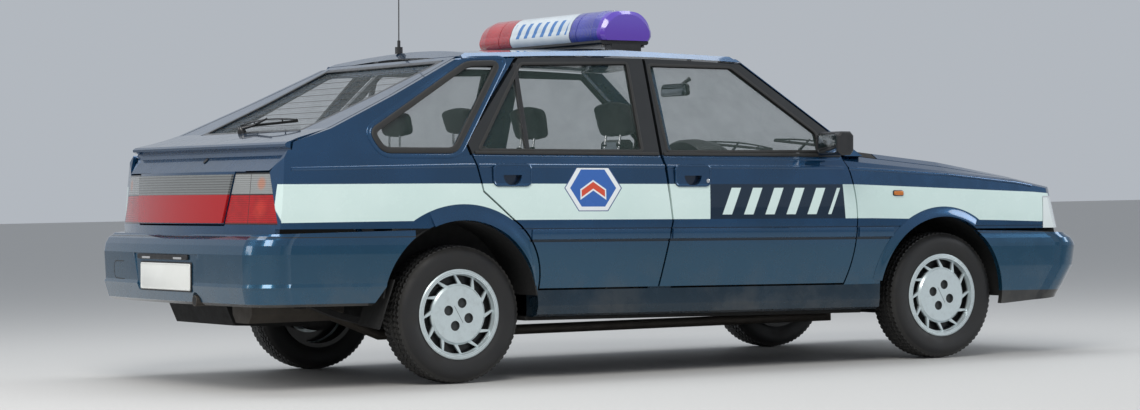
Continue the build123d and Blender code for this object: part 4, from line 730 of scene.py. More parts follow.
def pad_profile(width, height, sink, edge=0.3):
    """A low section with softened shoulders."""
    w, e = width / 2, width * edge
    return [(-w, -sink), (-w, height * 0.45), (-w + e * 0.35, height * 0.85), (-w + e, height),
            (w - e, height), (w - e * 0.35, height * 0.85), (w, height * 0.45), (w, -sink)]


def hit(node, start, direction):
    """Where a ray meets a CAD node, and the surface's direction there; None where it misses."""
    ok, place, normal, _ = nodes[node].ray_cast(start, Vector(direction).normalized())
    return (place, normal) if ok else None


# Shapes that follow the body

# x, half width, how far the shoulder tucks in, and the crease's height
REAR_PLAN = ((-2160, 800, 10, 865), (-1900, 808, 12, 870), (-1165, 824.5, 27, 887), (700, 824.5, 27, 887))
FRONT_PLAN = ((700, 824.5, 27, 887), (1344, 812, 27, 859), (1750, 797, 25, 824), (2180, 770, 22, 755))
SHOULDER = ((-2160, 930), (700, 930), (1344, 872), (1750, 836), (2180, 762))
SLOPE = ((-1952, 972), (-1759, 1035), (-1447, 1176), (-1097, 1345))
NOSE_JOIN = 700  # where the rear plan meets the front one
BELT, BELT_HALF = 930, 797  # the height where the glasshouse starts, and half the width there
LEAN = 0.385  # how much the glasshouse narrows with its height
BULGE, BULGE_DROP = 2.374e-4, 173  # how the lower side curves, and how far under the crease it is widest
TAIL_BEND = -1165  # behind this the glasshouse narrows towards the tail, over TAIL_LENGTH
TAIL_LENGTH = 995


def lerp(points, x, column=1):
    """A value between the rows of a table whose first column is x."""
    for a, b in zip(points, points[1:]):
        if x <= b[0] or b is points[-1]:
            t = min(1.0, max(0.0, (x - a[0]) / (b[0] - a[0])))
            return a[column] + t * (b[column] - a[column])


def plan(x, column):
    return lerp(REAR_PLAN if x < NOSE_JOIN else FRONT_PLAN, x, column)


def side_y(x, z):
    """Half the width of the body at a place in the side view."""
    width, tuck, crease = (plan(x, column) for column in (1, 2, 3))
    shoulder = lerp(SHOULDER, x)
    if z <= crease:
        return width + 2.1 - BULGE * (z - crease + BULGE_DROP) ** 2
    if z <= shoulder:
        return width - 5 - (tuck - 5) * (z - crease) / (shoulder - crease)
    if x >= TAIL_BEND:
        return BELT_HALF - LEAN * (z - BELT)
    t = (TAIL_BEND - x) / TAIL_LENGTH
    base, top, gutter = BELT_HALF - 2 * t, 643 + 97 * t, 1330 - 90 * t
    return base + (top - base) * (z - BELT) / (gutter - BELT)


def side_point(x, z, side, lift=0.0):
    return level(x, side * (side_y(x, z) + lift), z)


def side_normal(x, z, side):
    a = side_point(x + 4, z, side) - side_point(x - 4, z, side)
    b = side_point(x, z + 4, side) - side_point(x, z - 4, side)
    n = a.cross(b).normalized()
    return n if n.y * side > 0 else -n


def side_strip(name, outline, side, profile, look, slot, radius=0, pitch=25):
    """A strip on the body's side, closed where its corners have a radius."""
    closed = radius > 0
    flat = spaced(rounded(outline, radius) if closed else outline, pitch, closed)
    ups = [side_normal(p.x, p.y, side) for p in flat]
    return strip(name, [side_point(p.x, p.y, side) for p in flat], ups, profile, look, slot, closed)


QUARTER_WINDOW = ((-1573, 1021), (-1534, 950), (-1205, 951), (-925, 1318), (-1069, 1312))
DOOR_WINDOWS = {
    "door_rear": ((-812, 1322), (-1092, 951), (-290, 951), (-276, 1337)),
    "door_front": ((-172, 1331), (-165, 950), (640, 957), (640, 1041), (258, 1329)),
}
REAR_DOOR_EDGE = ((-1142, 985), (-1088, 780), (-943, 661), (-858, 575), (-829, 480), (-814, 370))
BEAD = [(-0.0085, -0.002), (-0.006, 0.0016), (-0.0022, 0.0036), (0.0022, 0.0036), (0.006, 0.0016),
        (0.0085, -0.002)]
RIM = [(-0.004, -0.001), (-0.0028, 0.0018), (0.0, 0.003), (0.0028, 0.0018), (0.004, -0.001)]
LINE_KINDS = {  # height, section and look; a crease has the height that the plan gives
    "crease": (None, BEAD, "blue"),
    "shoulder": (924, BEAD, "blue"),
    "belt": (940, pad_profile(0.015, 0.0055, 0.003), "rubber"),
    "moulding": (599.5, pad_profile(0.043, 0.0055, 0.003, 0.12), "blue"),
}
LINES = (  # node, kind, and where the line starts and ends
    ("door_rear", "belt", -1112, -216), ("door_front", "belt", -187, 738),
    ("quarter_panels", "crease", -1955, -1126), ("door_rear", "crease", -1106, -200),
    ("door_front", "crease", -184, 746), ("front_fenders", "crease", 772, 1835),
    ("door_rear", "shoulder", -1122, -210), ("door_front", "shoulder", -192, 738),
    ("door_rear", "moulding", -858, -177), ("door_front", "moulding", -161, 798),
    ("front_fenders", "moulding", 825, 1016),
)


def side_lines(word, side):
    """Belt seals, the raised edges of the creases and shoulders, and the rubbing mouldings."""
    for node, kind, a, b in LINES:
        height, profile, look = LINE_KINDS[kind]
        path = ((a, height), (b, height))
        if kind == "crease":
            path = [(x, plan(x, 3)) for x in (a + (b - a) * k / 20 for k in range(21))]
        slot = f"{node}_{word}" if node in DOOR_WINDOWS else node
        side_strip(f"{node}_{kind}_{word}", path, side, profile, look, slot)


def side_rims(word, side):
    """Window seals and the eased rims round the door handles' plates."""
    side_strip(f"quarter_seal_{word}", grow(QUARTER_WINDOW, 3), side, pad_profile(0.026, 0.0045, 0.01),
               "rubber", "fixed_glass", 34)
    side_strip(f"quarter_lip_{word}", grow(QUARTER_WINDOW, 27), side, pad_profile(0.016, 0.003, 0.003, 0.5),
               "blue", "quarter_panels", 52)
    side_strip(f"rear_divider_{word}", ((-857, 953), (-839, 1322)), side, pad_profile(0.02, 0.0012, 0.016),
               "satin", f"door_rear_{word}")
    for node, handle in (("door_rear", REAR_HANDLE), ("door_front", FRONT_HANDLE)):
        slot = f"{node}_{word}"
        side_strip(f"{node}_seal_{word}", grow(DOOR_WINDOWS[node], -1), side,
                   pad_profile(0.013, 0.002, 0.013), "rubber", slot, 16, 40)
        path = [level(p.x, side * 829.2, p.y) for p in rect(handle - 88, handle + 88, 804, 892, 24, 6)]
        strip(f"{node}_handle_rim_{word}", path, Vector((0, side, 0)), RIM, "blue", slot, True)


def reach_to(polyline, cx, cz, angle):
    """How far a line from a centre runs before it meets a polyline in the side view."""
    dx, dz = cos(angle), sin(angle)
    best = inf
    for (x0, z0), (x1, z1) in zip(polyline, polyline[1:]):
        ex, ez, bx, bz = x1 - x0, z1 - z0, x0 - cx, z0 - cz
        turn = ex * dz - dx * ez
        r, u = (ex * bz - bx * ez) / turn, (dx * bz - dz * bx) / turn
        if r > 0 and 0 <= u <= 1:
            best = min(best, r)
    return best


def arch_flare(name, cx, cz, inner, outer, start, end, side, slot, limit=()):
    """A raised lip round a wheel arch that blends into the side and stops short of a limit line."""
    rows, cells, rings = 72, 7, []
    for i in range(rows + 1):
        a = radians(start + (end - start) * i / rows)
        far = max(inner + 3, min(outer, reach_to(limit, cx, cz, a) - 9))
        fade = min(1.0, (far - inner) / 30)
        steps = [(inner + (far - inner) * t, fade * 4.5 * (1 + cos(pi * t)) + 0.3)
                 for t in (c / cells for c in range(cells + 1))]
        steps += [(far, -4), (inner - 1, -22), (inner - 1, fade * 5.0)]
        rings.append([side_point(cx + r * cos(a), cz + r * sin(a), side, lift) for r, lift in steps])
    skin(name, rings, "blue", slot, 40)


def side_details(word, side):
    """Arch flares, the side marker, the door's lock and the mirror's glass."""
    arch_flare(f"rear_flare_{word}", -1181, 297, 364, 428, 14, 112, side, "quarter_panels", REAR_DOOR_EDGE)
    arch_flare(f"front_flare_{word}", 1305, 320, 347, 392, 60, 170, side, "front_fenders")
    out = side_normal(1044, 773, side)
    base = [side_point(p.x, p.y, side, -1) for p in rect(1014, 1074, 760, 786, 9)]
    plate_piece(f"marker_base_{word}", base, out, 0.003, "satin", "front_fenders", 0.001)
    lens = [side_point(p.x, p.y, side, 1.5) for p in rect(1018, 1070, 763, 783, 8)]
    plate_piece(f"marker_lens_{word}", lens, out, 0.007, "amber", "front_fenders", 0.003, 3)
    stud(f"door_lock_{word}", level(16, side * 829.3, 826), out, ((-2, 8.5), (1.8, 8.5), (2.4, 6)), "chrome",
         f"door_front_{word}", 24)
    glass = rect(side * 842, side * 990, 948, 1032, 22, 6)
    plate_piece(f"mirror_glass_{word}", [level(586.6, p.x, p.y) for p in glass], BACK, 0.0012, "mirror",
                f"mirror_{word}", 0.0005)
    strip(f"mirror_lip_{word}", [level(586.4, p.x, p.y) for p in glass], BACK,
          pad_profile(0.005, 0.003, 0.001), "satin", f"mirror_{word}", True)


# Wheels

TYRE_WALL = ((0.1785, 0.0705), (0.186, 0.0745), (0.192, 0.0752), (0.2, 0.08), (0.215, 0.0846),
             (0.232, 0.0872), (0.246, 0.0876), (0.258, 0.085), (0.267, 0.08), (0.2745, 0.0725))
TREAD_RIBS = ((0.0655, 0.046), (0.038, 0.0225), (0.0145, -0.0145), (-0.0225, -0.038), (-0.046, -0.0655))
GROOVE_RADIUS = 0.279
TREAD_STEPS = 216  # three steps to a block and its gap
SIPE_DEPTH = 0.0065


def tyre(end, x, word, side):
    """A tyre with ribs of blocks round the tread, a shoulder and a bulging wall."""
    profile = [(r, w, False) for r, w in TYRE_WALL]
    for edge, inner in TREAD_RIBS:
        crown = 0.288 - 0.0042 * (max(abs(edge), abs(inner)) / 0.0655) ** 2
        profile += [(GROOVE_RADIUS, edge + 0.0012, False), (crown, edge, True), (crown, inner, True),
                    (GROOVE_RADIUS, inner - 0.0012, False)]
    profile += [(r, -w, False) for r, w in reversed(TYRE_WALL)]
    rings = []
    for i in range(TREAD_STEPS):
        ring = []
        for r, w, block in profile:
            if block and (i + (w > 0)) % 3 == 0:
                r -= SIPE_DEPTH
            turn = 2 * pi * i / TREAD_STEPS + (w * 0.55 if block else 0.0)
            ring.append((x + r * cos(turn), side * (HALF_TRACK + w), TYRE_RADIUS + r * sin(turn)))
        rings.append(ring)
    node = f"tyre_{end}_{word}"
    piece = skin(f"treaded_{node}", rings, "tyre", node, 32, True)
    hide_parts(node)


# Tail

def slope_point(x, y, lift=0.0):
    return level(x, y, lerp(SLOPE, x) + lift)


def slope_up(x):
    return Vector((lerp(SLOPE, x - 5) - lerp(SLOPE, x + 5), 0, 10)).normalized()


def rear_screen():
    """The border of the rear glass and its heater lines."""
    outline = ((-1772, -498), (-1125, -549), (-1125, 549), (-1772, 498))
    flat = spaced(rounded(grow(outline, -10), 26), 40, True)
    strip("rear_glass_border", [slope_point(p.x, p.y, -1.5) for p in flat], [slope_up(p.x) for p in flat],
          pad_profile(0.03, 0.0022, 0.0035), "satin", "tailgate_glass", True)
    for i in range(9):
        x, half = -1700 + i * 62, 470 + i * 5
        path = [slope_point(x, y, -2.2) for y in range(-half, half + 1, 40)]
        strip(f"heater_line_{i}", path, slope_up(x), pad_profile(0.0012, 0.0008, 0.0006), "steel",
              "tailgate_glass")


def wiper_blade(name, points, ups, slot):
    """A thin rubber under an arched frame with two claws."""
    last = len(points) - 1
    strip(name + "_rubber", [p + u * 0.004 for p, u in zip(points, ups)], ups,
          [(-0.003, -0.004), (-0.0045, 0.006), (0.0045, 0.006), (0.003, -0.004)], "rubber", slot)
    arch = [p + u * (0.011 + 0.014 * sin(pi * i / last)) for i, (p, u) in enumerate(zip(points, ups))]
    strip(name + "_frame", arch, ups, pad_profile(0.008, 0.004, 0.001), "satin", slot)
    for k in (len(points) // 4, last - len(points) // 4):
        tube(f"{name}_claw_{k}", [points[k] + ups[k] * 0.008, arch[k]], 0.003, "satin", slot, 6)


def rear_wiper():
    up = slope_up(-1690)
    points = [slope_point(-1708 + 30 * k / 16, 203 - 490 * k / 16, 1) for k in range(17)]
    wiper_blade("rear_wiper", points, [up] * 17, "tailgate_glass")
    foot = slope_point(-1762, 90, 3)
    tube("rear_wiper_arm", [foot, foot + up * 0.016, slope_point(-1735, 40, 18), points[8] + up * 0.03],
         [0.01, 0.009, 0.006, 0.004], "satin", "tailgate")
    stud("rear_wiper_cap", foot, up, ((-6, 19), (10, 18), (22, 11)), "satin", "tailgate", 20)


TAIL_PLATES = (  # name, x, y from and to, z from and to, corner radius, thickness, look, bevel, segments
    ("plate_holder", -2152.8, -272, 258, 367, 490, 10, 0.006, "black", 0.002, 2),
    ("blank_plate", -2158.6, -267, 253, 373, 484, 9, 0.0016, "plate", 0.0005, 2),
    ("plate_lamp_bar", -2151, -236, 286, 499, 521, 7, 0.011, "black", 0.004, 3),
    ("plate_lamp_-140", -2158, -182, -98, 501, 510, 3, 0.0055, "light_grey", 0.001, 2),
    ("plate_lamp_190", -2158, 148, 232, 501, 510, 3, 0.0055, "light_grey", 0.001, 2),
)


def bumper_details():
    """The blank number plate with its lamps, the towing eye's cover, the mud flaps and the lid's lock."""
    for name, x, y0, y1, z0, z1, radius, thickness, look, bevel, segments in TAIL_PLATES:
        outline = [level(x, p.x, p.y) for p in rect(y0, y1, z0, z1, radius)]
        plate_piece(name, outline, BACK, thickness, look, "rear_bumper", bevel, segments)
    strip("plate_rim", [level(-2160.4, p.x, p.y) for p in rect(-263, 249, 377, 480, 8)], BACK,
          pad_profile(0.004, 0.001, 0.0008), "plate", "rear_bumper", True)
    outline = rounded(((462, 482), (594, 481), (594, 407), (462, 405)), 33, False)
    hits = [hit("rear_bumper", level(-2400, p.x, p.y), (1, 0, 0)) for p in outline]
    hits = [h for h in hits if h]
    strip("tow_cover_line", [place for place, _ in hits], [normal for _, normal in hits],
          pad_profile(0.004, 0.0006, 0.002), "rubber", "rear_bumper")
    for word, side in SIDES:
        flap = [level(-1490, side * y, z) for y, z in ((790, 420), (590, 420), (590, 232), (790, 218))]
        flap = [f + Vector((-0.35 * (0.42 - f.z), 0, 0)) for f in flap]
        plate_piece(f"mud_flap_{word}", flap, Vector((-1, 0, 0)), 0.007, "under", "rear_bumper", 0.002)
    place, normal = hit("tailgate", level(-2400, 0, 905), (1, 0, 0))
    stud("tailgate_lock", place, normal, ((-4, 15), (4, 15), (5, 11)), "satin", "tailgate", 24)


def pipe_tip():
    """A rolled end, and a soot-black disc in the bore that stands for its soot and for painted shade deeper
    in the pipe.
    """
    x, y, z = -2.158, -0.3, 0.366
    tube("tailpipe_end", [Vector((-2.105, y, z)), Vector((-2.13, y, z)), Vector((x, y, z))],
         [0.0222, 0.0226, 0.0222], "steel", "exhaust", 32)
    ring_tube("tailpipe_rim", Vector((x + 0.001, y, z)), (0, 1, 0), UP, 0.0205, 0.0028, "steel", "exhaust",
              32)
    # The disc is partly real soot and partly painted shade: it closes the bore just inside its end.
    disc = [Vector((x - 0.0004, y, z)) + q * 0.0185 for q in circle(Vector((0, 1, 0)), UP, 32)]
    plate_piece("tailpipe_bore", disc, Vector((-1, 0, 0)), 0.0006, "soot", "exhaust", 0)


# Roof and nose

def light_bar_details():
    """Screws in the domes and bolts in the bar's feet."""
    for x in (-262, -178):
        for y in (-500, 500):
            place, normal = hit("light_bar_lenses", level(x, y, 1800), (0, 0, -1))
            stud(f"dome_screw_{x}_{y}", place, normal, ((-3, 7.5), (1.2, 7.5), (2.0, 4.5)), "chrome",
                 "light_bar_lenses", 16)
    for k, y in enumerate((-515, 515)):
        for x in (-320, -120):
            stud(f"bar_bolt_{k}_{x}", level(x, y, 1419), UP, ((-8, 10), (3, 8)), "satin",
                 "light_bar_base", 12)


def nose_details():
    """The windscreen wipers and the washer jets."""
    for k, (y0, y1, foot_y) in enumerate(((-560, -70, -130), (40, 500, 440))):
        hits = [hit("fixed_glass", level(1500, y0 + (y1 - y0) * i / 14, 985 + 3 * i), (-1, 0, 0))
                for i in range(15)]
        points = [h[0] for h in hits if h]
        ups = [h[1] if h[1].x > 0 else -h[1] for h in hits if h]
        wiper_blade(f"front_wiper_{k}", points, ups, "fixed_glass")
        foot = level(990, foot_y, 958)
        tube(f"front_wiper_arm_{k}", [foot, foot + UP * 0.022, points[len(points) // 2] + ups[0] * 0.03],
             [0.01, 0.008, 0.004], "satin", "bulkhead")
    for y in (-260, 260):
        place = hit("hood", level(1150, y, 1300), (0, 0, -1))[0]
        outline = [place + Vector((dx, dy, -0.002))
                   for dx, dy in ((-0.014, -0.009), (0.014, -0.007), (0.014, 0.007), (-0.014, 0.009))]
        plate_piece(f"washer_jet_{y}", outline, UP, 0.01, "satin", "hood", 0.003, 3)


# Padded seats

SEAT_MID = 378
SEAT_CUSHION = ((-120, 300), (-140, 440), (-60, 470), (330, 500), (390, 470), (390, 400), (340, 300))
SEAT_BACK = ((-150, 430), (-10, 470), (-130, 960), (-190, 985), (-260, 960), (-265, 900))
SEAT_REST = ((-192, 1010), (-130, 1020), (-150, 1170), (-185, 1185), (-232, 1170))
BENCH = ((-812, 378), (-812, 500), (-740, 520), (-360, 550), (-310, 520), (-320, 420), (-350, 378))
BENCH_BACK = ((-812, 480), (-690, 500), (-880, 1000), (-950, 1010), (-960, 960), (-812, 520))
BENCH_REST = ((-930, 1020), (-868, 1030), (-885, 1140), (-915, 1150), (-960, 1135))
PUFF_FRAMES = 20


class Pad:
    """A cushion that starts as a slightly small solid, is blown up as cloth, and is then seamed."""

    def __init__(self, name, profile, half, voxel, soft=20, cap=0.024, round_off=0.0, shrink=9):
        self.name, self.half, self.cap, self.round_off = name, half, cap, round_off
        self.low, self.high = min(p[1] for p in profile), max(p[1] for p in profile)
        edge = (half - shrink) / 1000
        outline = [(p.x / 1000, edge, p.y / 1000) for p in grow(profile, -shrink)]
        mesh = slab(name, outline, (0, -2 * edge, 0), soft / 1000, 3, 0.5)
        self.obj = bpy.data.objects.new(name + "_sim", mesh)
        scene.collection.objects.link(self.obj)
        remesh = self.obj.modifiers.new("even", "REMESH")
        remesh.mode, remesh.voxel_size = "VOXEL", voxel
        self.bake()
        self.rest = [v.co.copy() for v in self.obj.data.vertices]
        puff = self.obj.modifiers.new("puff", "CLOTH")
        rules = puff.settings
        rules.quality = 4
        rules.mass = 0.25
        rules.tension_stiffness = rules.compression_stiffness = 18
        rules.bending_stiffness = 2.0
        rules.use_pressure = True
        rules.uniform_pressure_force = 4.0
        rules.effector_weights.gravity = 0.0
        puff.collision_settings.use_collision = False
        puff.point_cache.frame_start, puff.point_cache.frame_end = 1, PUFF_FRAMES + 4

    def bake(self):
        """Apply the modifiers."""
        graph = bpy.context.evaluated_depsgraph_get()
        graph.update()
        mesh = bpy.data.meshes.new_from_object(self.obj.evaluated_get(graph))
        self.obj.modifiers.clear()
        self.obj.data = mesh

    def settle(self):
        """Apply the cloth, cap how far each point has moved, and subdivide."""
        self.bake()
        for v, start in zip(self.obj.data.vertices, self.rest):
            moved = v.co - start
            if moved.length > self.cap:
                v.co = start + moved * (self.cap / moved.length)
        self.obj.modifiers.new("fine", "SUBSURF").levels = 1
        self.bake()

    def rounded_off(self, place):
        """Pull the four corners of the cushion's outline in, by a share of what would make it an ellipse."""
        x, y, z = place
        mid, reach = (self.low + self.high) / 2, (self.high - self.low) / 2
        u, w = min(1, abs(y) / self.half), min(1, abs(z - mid) / reach)
        share = self.round_off
        return (x, y * (1 - share + share * sqrt(1 - w * w / 2)),
                mid + (z - mid) * (1 - share + share * sqrt(1 - u * u / 2)))

    def seamed(self, channels):
        """Press seams into the surface, and return the mesh in the frame."""
        mesh = self.obj.data
        normals = [v.normal.copy() for v in mesh.vertices]
        for v, n in zip(mesh.vertices, normals):
            depth = max(deep * exp(-(far / width) ** 2) for far, width, deep in channels(v.co * 1000, n))
            v.co -= n * depth / 1000
            v.co = level(*self.rounded_off(v.co * 1000))
        for polygon in mesh.polygons:
            polygon.use_smooth = True
        bpy.data.objects.remove(self.obj)
        return mesh


def seams(face, piping, spread=60, run=0, least=1.0, limits=(0, 0), long=(), across=(), deep=5,
          within=inf):
    """Channels of a pad: each gives how far off a place is, a width and a depth, in millimetres.

    The face's axis and the run's axis are 0 for x and 2 for z. Long seams keep a distance from the middle
    line, seams across keep a place along the run and end at within, and piping goes round the edge of the
    face, where its axis has that share of the normal."""
    def channels(place, n):
        if n[face] > least and limits[0] < place[run] < limits[1]:
            off = abs(place.y)
            for at in long:
                yield abs(off - at), 7, 6
            if off < within:
                for at in across:
                    yield abs(place[run] - at), 7, deep
        yield abs(n[face] - piping) * spread, 5, 3
    return channels


HEADREST = {"voxel": 0.009, "soft": 26, "cap": 0.016, "round_off": 0.55, "shrink": 6}
HEADREST_SEAMS = seams(0, 0.25, 50)
PADS = (  # name, outline, half width, settings, seams, CAD node that it stands for, places across
    ("front_cushion", SEAT_CUSHION, 220, {"voxel": 0.013},
     seams(2, 0.35, run=0, least=0.55, limits=(-90, 340), long=(140,), across=(20, 130, 240), within=140),
     "front_seats", (-SEAT_MID, SEAT_MID)),
    ("front_back", SEAT_BACK, 220, {"voxel": 0.013, "round_off": 0.18},
     seams(0, 0.2, run=2, least=0.5, limits=(520, 950), long=(140,), across=(600, 700, 800, 890), within=140),
     "front_seats", (-SEAT_MID, SEAT_MID)),
    ("front_headrest", SEAT_REST, 135, HEADREST, HEADREST_SEAMS, "front_seats", (-SEAT_MID, SEAT_MID)),
    ("rear_cushion", BENCH, 640, {"voxel": 0.015},
     seams(2, 0.35, run=0, least=0.55, limits=(-780, -350), long=(0, 215, 430), across=(-520,), deep=4),
     "rear_seat", (0,)),
    ("rear_back", BENCH_BACK, 535, {"voxel": 0.015},
     seams(0, 0.2, run=2, least=0.5, limits=(540, 985), long=(0, 190, 380), across=(780,), deep=4),
     "rear_seat", (0,)),
    ("rear_headrest", BENCH_REST, 120, {**HEADREST, "soft": 24}, HEADREST_SEAMS, "rear_seat", (-300, 300)),
)


def seats():
    pads = [Pad(name, outline, half, **settings) for name, outline, half, settings, *_ in PADS]
    for frame_number in range(1, PUFF_FRAMES + 1):
        scene.frame_set(frame_number)
    for pad in pads:
        pad.settle()
    scene.frame_set(1)
    for pad, (*_, channels, node, places) in zip(pads, PADS):
        mesh = pad.seamed(channels)
        for k, y in enumerate(places):
            copy = mesh.copy()
            copy.transform(Matrix.Translation((0, y / 1000, 0)))
            piece = new_object(f"{pad.name}_{k}", copy, "cloth", node)
            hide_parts(node)


SEAT_COVER = ((-150, 385), (-110, 300), (150, 300), (230, 330), (200, 368), (-60, 400), (-100, 470),
              (-150, 470))


def seat_frames():
    """Headrest posts with their guides, rails, side covers and recliner knobs."""
    for word, y in (("right", -SEAT_MID), ("left", SEAT_MID)):
        for k, off in enumerate((-60, 60)):
            post = [level(x, y + off, z) for x, z in ((-196, 960), (-190, 1000), (-184, 1040))]
            tube(f"headrest_post_{word}_{k}", post, 0.005, "chrome", "front_seats")
            along = level(1, 0, 0) - level(0, 0, 0)
            ring_tube(f"post_guide_{word}_{k}", level(-196, y + off, 986), along, (0, 0.001, 0), 9, 0.004,
                      "satin", "front_seats", 20)
        for k, off in enumerate((-204, 176)):
            rail = [level(x, y + off, z) for x, z in
                    ((-86, 245), (330, 245), (330, 262), (300, 300), (-50, 300), (-86, 262))]
            plate_piece(f"seat_rail_{word}_{k}", rail, Vector((0, 1, 0)), 0.028, "steel", "front_seats",
                        0.003)
        cover = [level(x, y - 224, z) for x, z in SEAT_COVER]
        plate_piece(f"seat_side_cover_{word}", cover, Vector((0, -1, 0)), 0.01, "black", "front_seats", 0.003)
        stud(f"recliner_{word}", level(-105, y - 232, 432), Vector((0, -1, 0)),
             ((-4, 28), (22, 25), (26, 18)), "black", "front_seats", 24)
    for word, y in (("right", -300), ("left", 300)):
        for k, off in enumerate((-50, 50)):
            tube(f"rear_post_{word}_{k}", [level(-918, y + off, 985), level(-918, y + off, 1045)], 0.005,
                 "chrome", "rear_seat")


# Cabin

ARMREST = [(-0.03, 0.0), (-0.028, 0.03), (-0.016, 0.042), (0.018, 0.042), (0.03, 0.03), (0.03, 0.0)]
DOOR_CARDS = (  # node, outline, and the places of the winder and the pull
    ("door_front", ((-110, 430), (700, 430), (690, 900), (-140, 900)), (420, 610), (500, 800)),
    ("door_rear", ((-770, 470), (-270, 430), (-260, 900), (-930, 900), (-915, 700)), (-420, 610),
     (-400, 800)),
)


def door_card(node, outline, winder, pull, word, side):
    """The inner trim of a door with its insert, armrest, pocket, winder and pull."""
    slot = f"{node}_{word}"
    out = Vector((0, -side, 0))
    lo, hi = min(p[0] for p in outline), max(p[0] for p in outline)

    def at(x, z, depth=0):
        return level(x, side * (751.5 - depth), z)

    def panel(kind, corners, radius, depth, thickness, look, bevel, segments):
        flat = [at(p.x, p.y, depth) for p in rounded(corners, radius, True, 5)]
        plate_piece(f"{node}_{kind}_{word}", flat, out, thickness, look, slot, bevel, segments)

    panel("card", outline, 30, 0, 0.007, "trim", 0.002, 2)
    panel("insert", ((lo + 45, 700), (hi - 60, 700), (hi - 80, 865), (lo + 60, 865)), 24, 6, 0.008, "cloth",
          0.003, 3)
    panel("pocket", ((lo + 90, 420), (hi - 130, 420), (hi - 150, 545), (lo + 110, 530)), 26, 6, 0.02, "trim",
          0.005, 3)
    path = spaced(((lo + 130, 640), (lo + 260, 655), (hi - 170, 672), (hi - 120, 690)), 30)
    strip(f"{node}_armrest_{word}", [at(p.x, p.y, 6) for p in path], out, ARMREST, "black", slot)
    hub = at(*winder, 8)
    stud(f"{node}_winder_hub_{word}", hub, out, ((0, 20), (14, 18), (18, 12)), "black", slot, 20)
    end = hub + out * 0.018 + level(-78, 0, -45) - level(0, 0, 0)
    tube(f"{node}_winder_{word}", [hub + out * 0.012, (hub + end) * 0.5 + out * 0.014, end + out * 0.004],
         [0.008, 0.007, 0.007], "black", slot)
    stud(f"{node}_winder_knob_{word}", end, out, ((-2, 8), (10, 12), (26, 10)), "black", slot, 16)
    grip = [at(pull[0] + dx, pull[1] + dz, depth) for dx, dz, depth in
            ((0, 0, 8), (10, 2, 20), (45, 4, 24), (75, 2, 18))]
    tube(f"{node}_pull_{word}", grip, [0.007, 0.008, 0.007, 0.005], "chrome", slot)


def interior_mirror():
    mirror = level(392, 0, 1252)
    place = hit("fixed_glass", level(330, 0, 1290), (1, 0, 0.1))[0]
    tube("interior_mirror_stem", [place, place * 0.45 + mirror * 0.55 + UP * 0.006, mirror],
         [0.011, 0.006, 0.008], "satin", "fixed_glass")
    back = Vector((-1, 0, -0.12)).normalized()
    flat = rounded(((-118, -28), (118, -28), (108, 30), (-108, 30)), 24, True, 6)
    case = [mirror + Vector((0, p.x / 1000, p.y / 1000)) for p in flat]
    plate_piece("interior_mirror_case", case, back, 0.02, "satin", "fixed_glass", 0.006, 3)
    small = [mirror + back * 0.019 + Vector((0, p.x / 1090, p.y / 1160)) for p in flat]
    plate_piece("interior_mirror_glass", small, back, 0.002, "mirror", "fixed_glass", 0.0006)


def instrument_hood():
    """The padded hood over the gauges, which rises above the fascia in front of the driver."""
    rings = []
    for t in (i / 14 for i in range(15)):
        top = 968 + 68 * max(0.0, sin(pi * t)) ** 0.6
        profile = ((648, 896), (640, 930), (648, top - 16), (668, top - 4), (730, top), (800, top - 10),
                   (866, 0.5 * top + 462), (896, 915), (890, 896))
        rings.append([level(x, 185 + 380 * t, z) for x, z in profile])
    skin("instrument_hood", rings, "black", "dashboard", 50)


def dash_details():
    """Four vents with slats, and three gauges."""
    for k, (y, w) in enumerate(((-640, 52), (-60, 58), (70, 58), (640, 52))):
        mid = hit("dashboard", level(100, y, 840), (1, 0, 0))[0]
        ring = [mid + Vector((0, p.x / 1000, p.y / 1000)) for p in rect(-w, w, -30, 30, 10, 4)]
        strip(f"vent_rim_{k}", ring, BACK, pad_profile(0.008, 0.006, 0.003), "satin", "dashboard", True)
        for j in range(5):
            bar = [mid + Vector((0, t * (w - 5) / 1000, -0.02 + 0.01 * j)) for t in (-1, -0.5, 0, 0.5, 1)]
            strip(f"vent_slat_{k}_{j}", bar, BACK, pad_profile(0.0035, 0.004, 0.003), "black", "dashboard")
    for k, (y, r) in enumerate(((300, 0.044), (440, 0.044), (372, 0.02))):
        mid = hit("dashboard", level(100, y, 885), (1, 0, 0))[0]
        ring = ring_tube(f"gauge_ring_{k}", mid, (0, 1, 0), UP, r, 0.0025, "satin", "dashboard")
        dial = [mid.lerp(p, 0.96) for p in ring]
        plate_piece(f"gauge_face_{k}", dial, BACK, 0.0008, "soot", "dashboard", 0)
        # The needles take the marker lens's look, with its faint painted glow.
        tube(f"gauge_needle_{k}", [mid, mid + Vector((0, 0.6 * r, 0.5 * r))], [0.0012, 0.0006], "amber",
             "dashboard", 6)


def gear_lever():
    knob = level(300, 0, 640)
    tube("gear_lever", [level(330, 0, 500), level(315, 0, 580), knob], [0.009, 0.007, 0.007], "satin",
         "floor_pan")
    stud("gear_knob", knob, UP, ((-12, 12), (0, 21), (20, 24), (34, 19), (38, 8)), "black", "floor_pan", 20)
    gaiter = [level(x, 0, z) for x, z in ((330, 455), (330, 480), (328, 505), (326, 525))]
    tube("gear_gaiter", gaiter, [0.062, 0.052, 0.03, 0.012], "rubber", "floor_pan", 28)


seats()
seat_frames()
for word, side in SIDES:
    for card in DOOR_CARDS:
        door_card(*card, word, side)
    side_rims(word, side)
    side_lines(word, side)
    side_details(word, side)
    tyre("front", FRONT_AXLE, word, side)
    tyre("rear", REAR_AXLE, word, side)
interior_mirror()
instrument_hood()
dash_details()
gear_lever()
rear_screen()
rear_wiper()
bumper_details()
pipe_tip()
light_bar_details()
nose_details()


# Floor, camera and lights

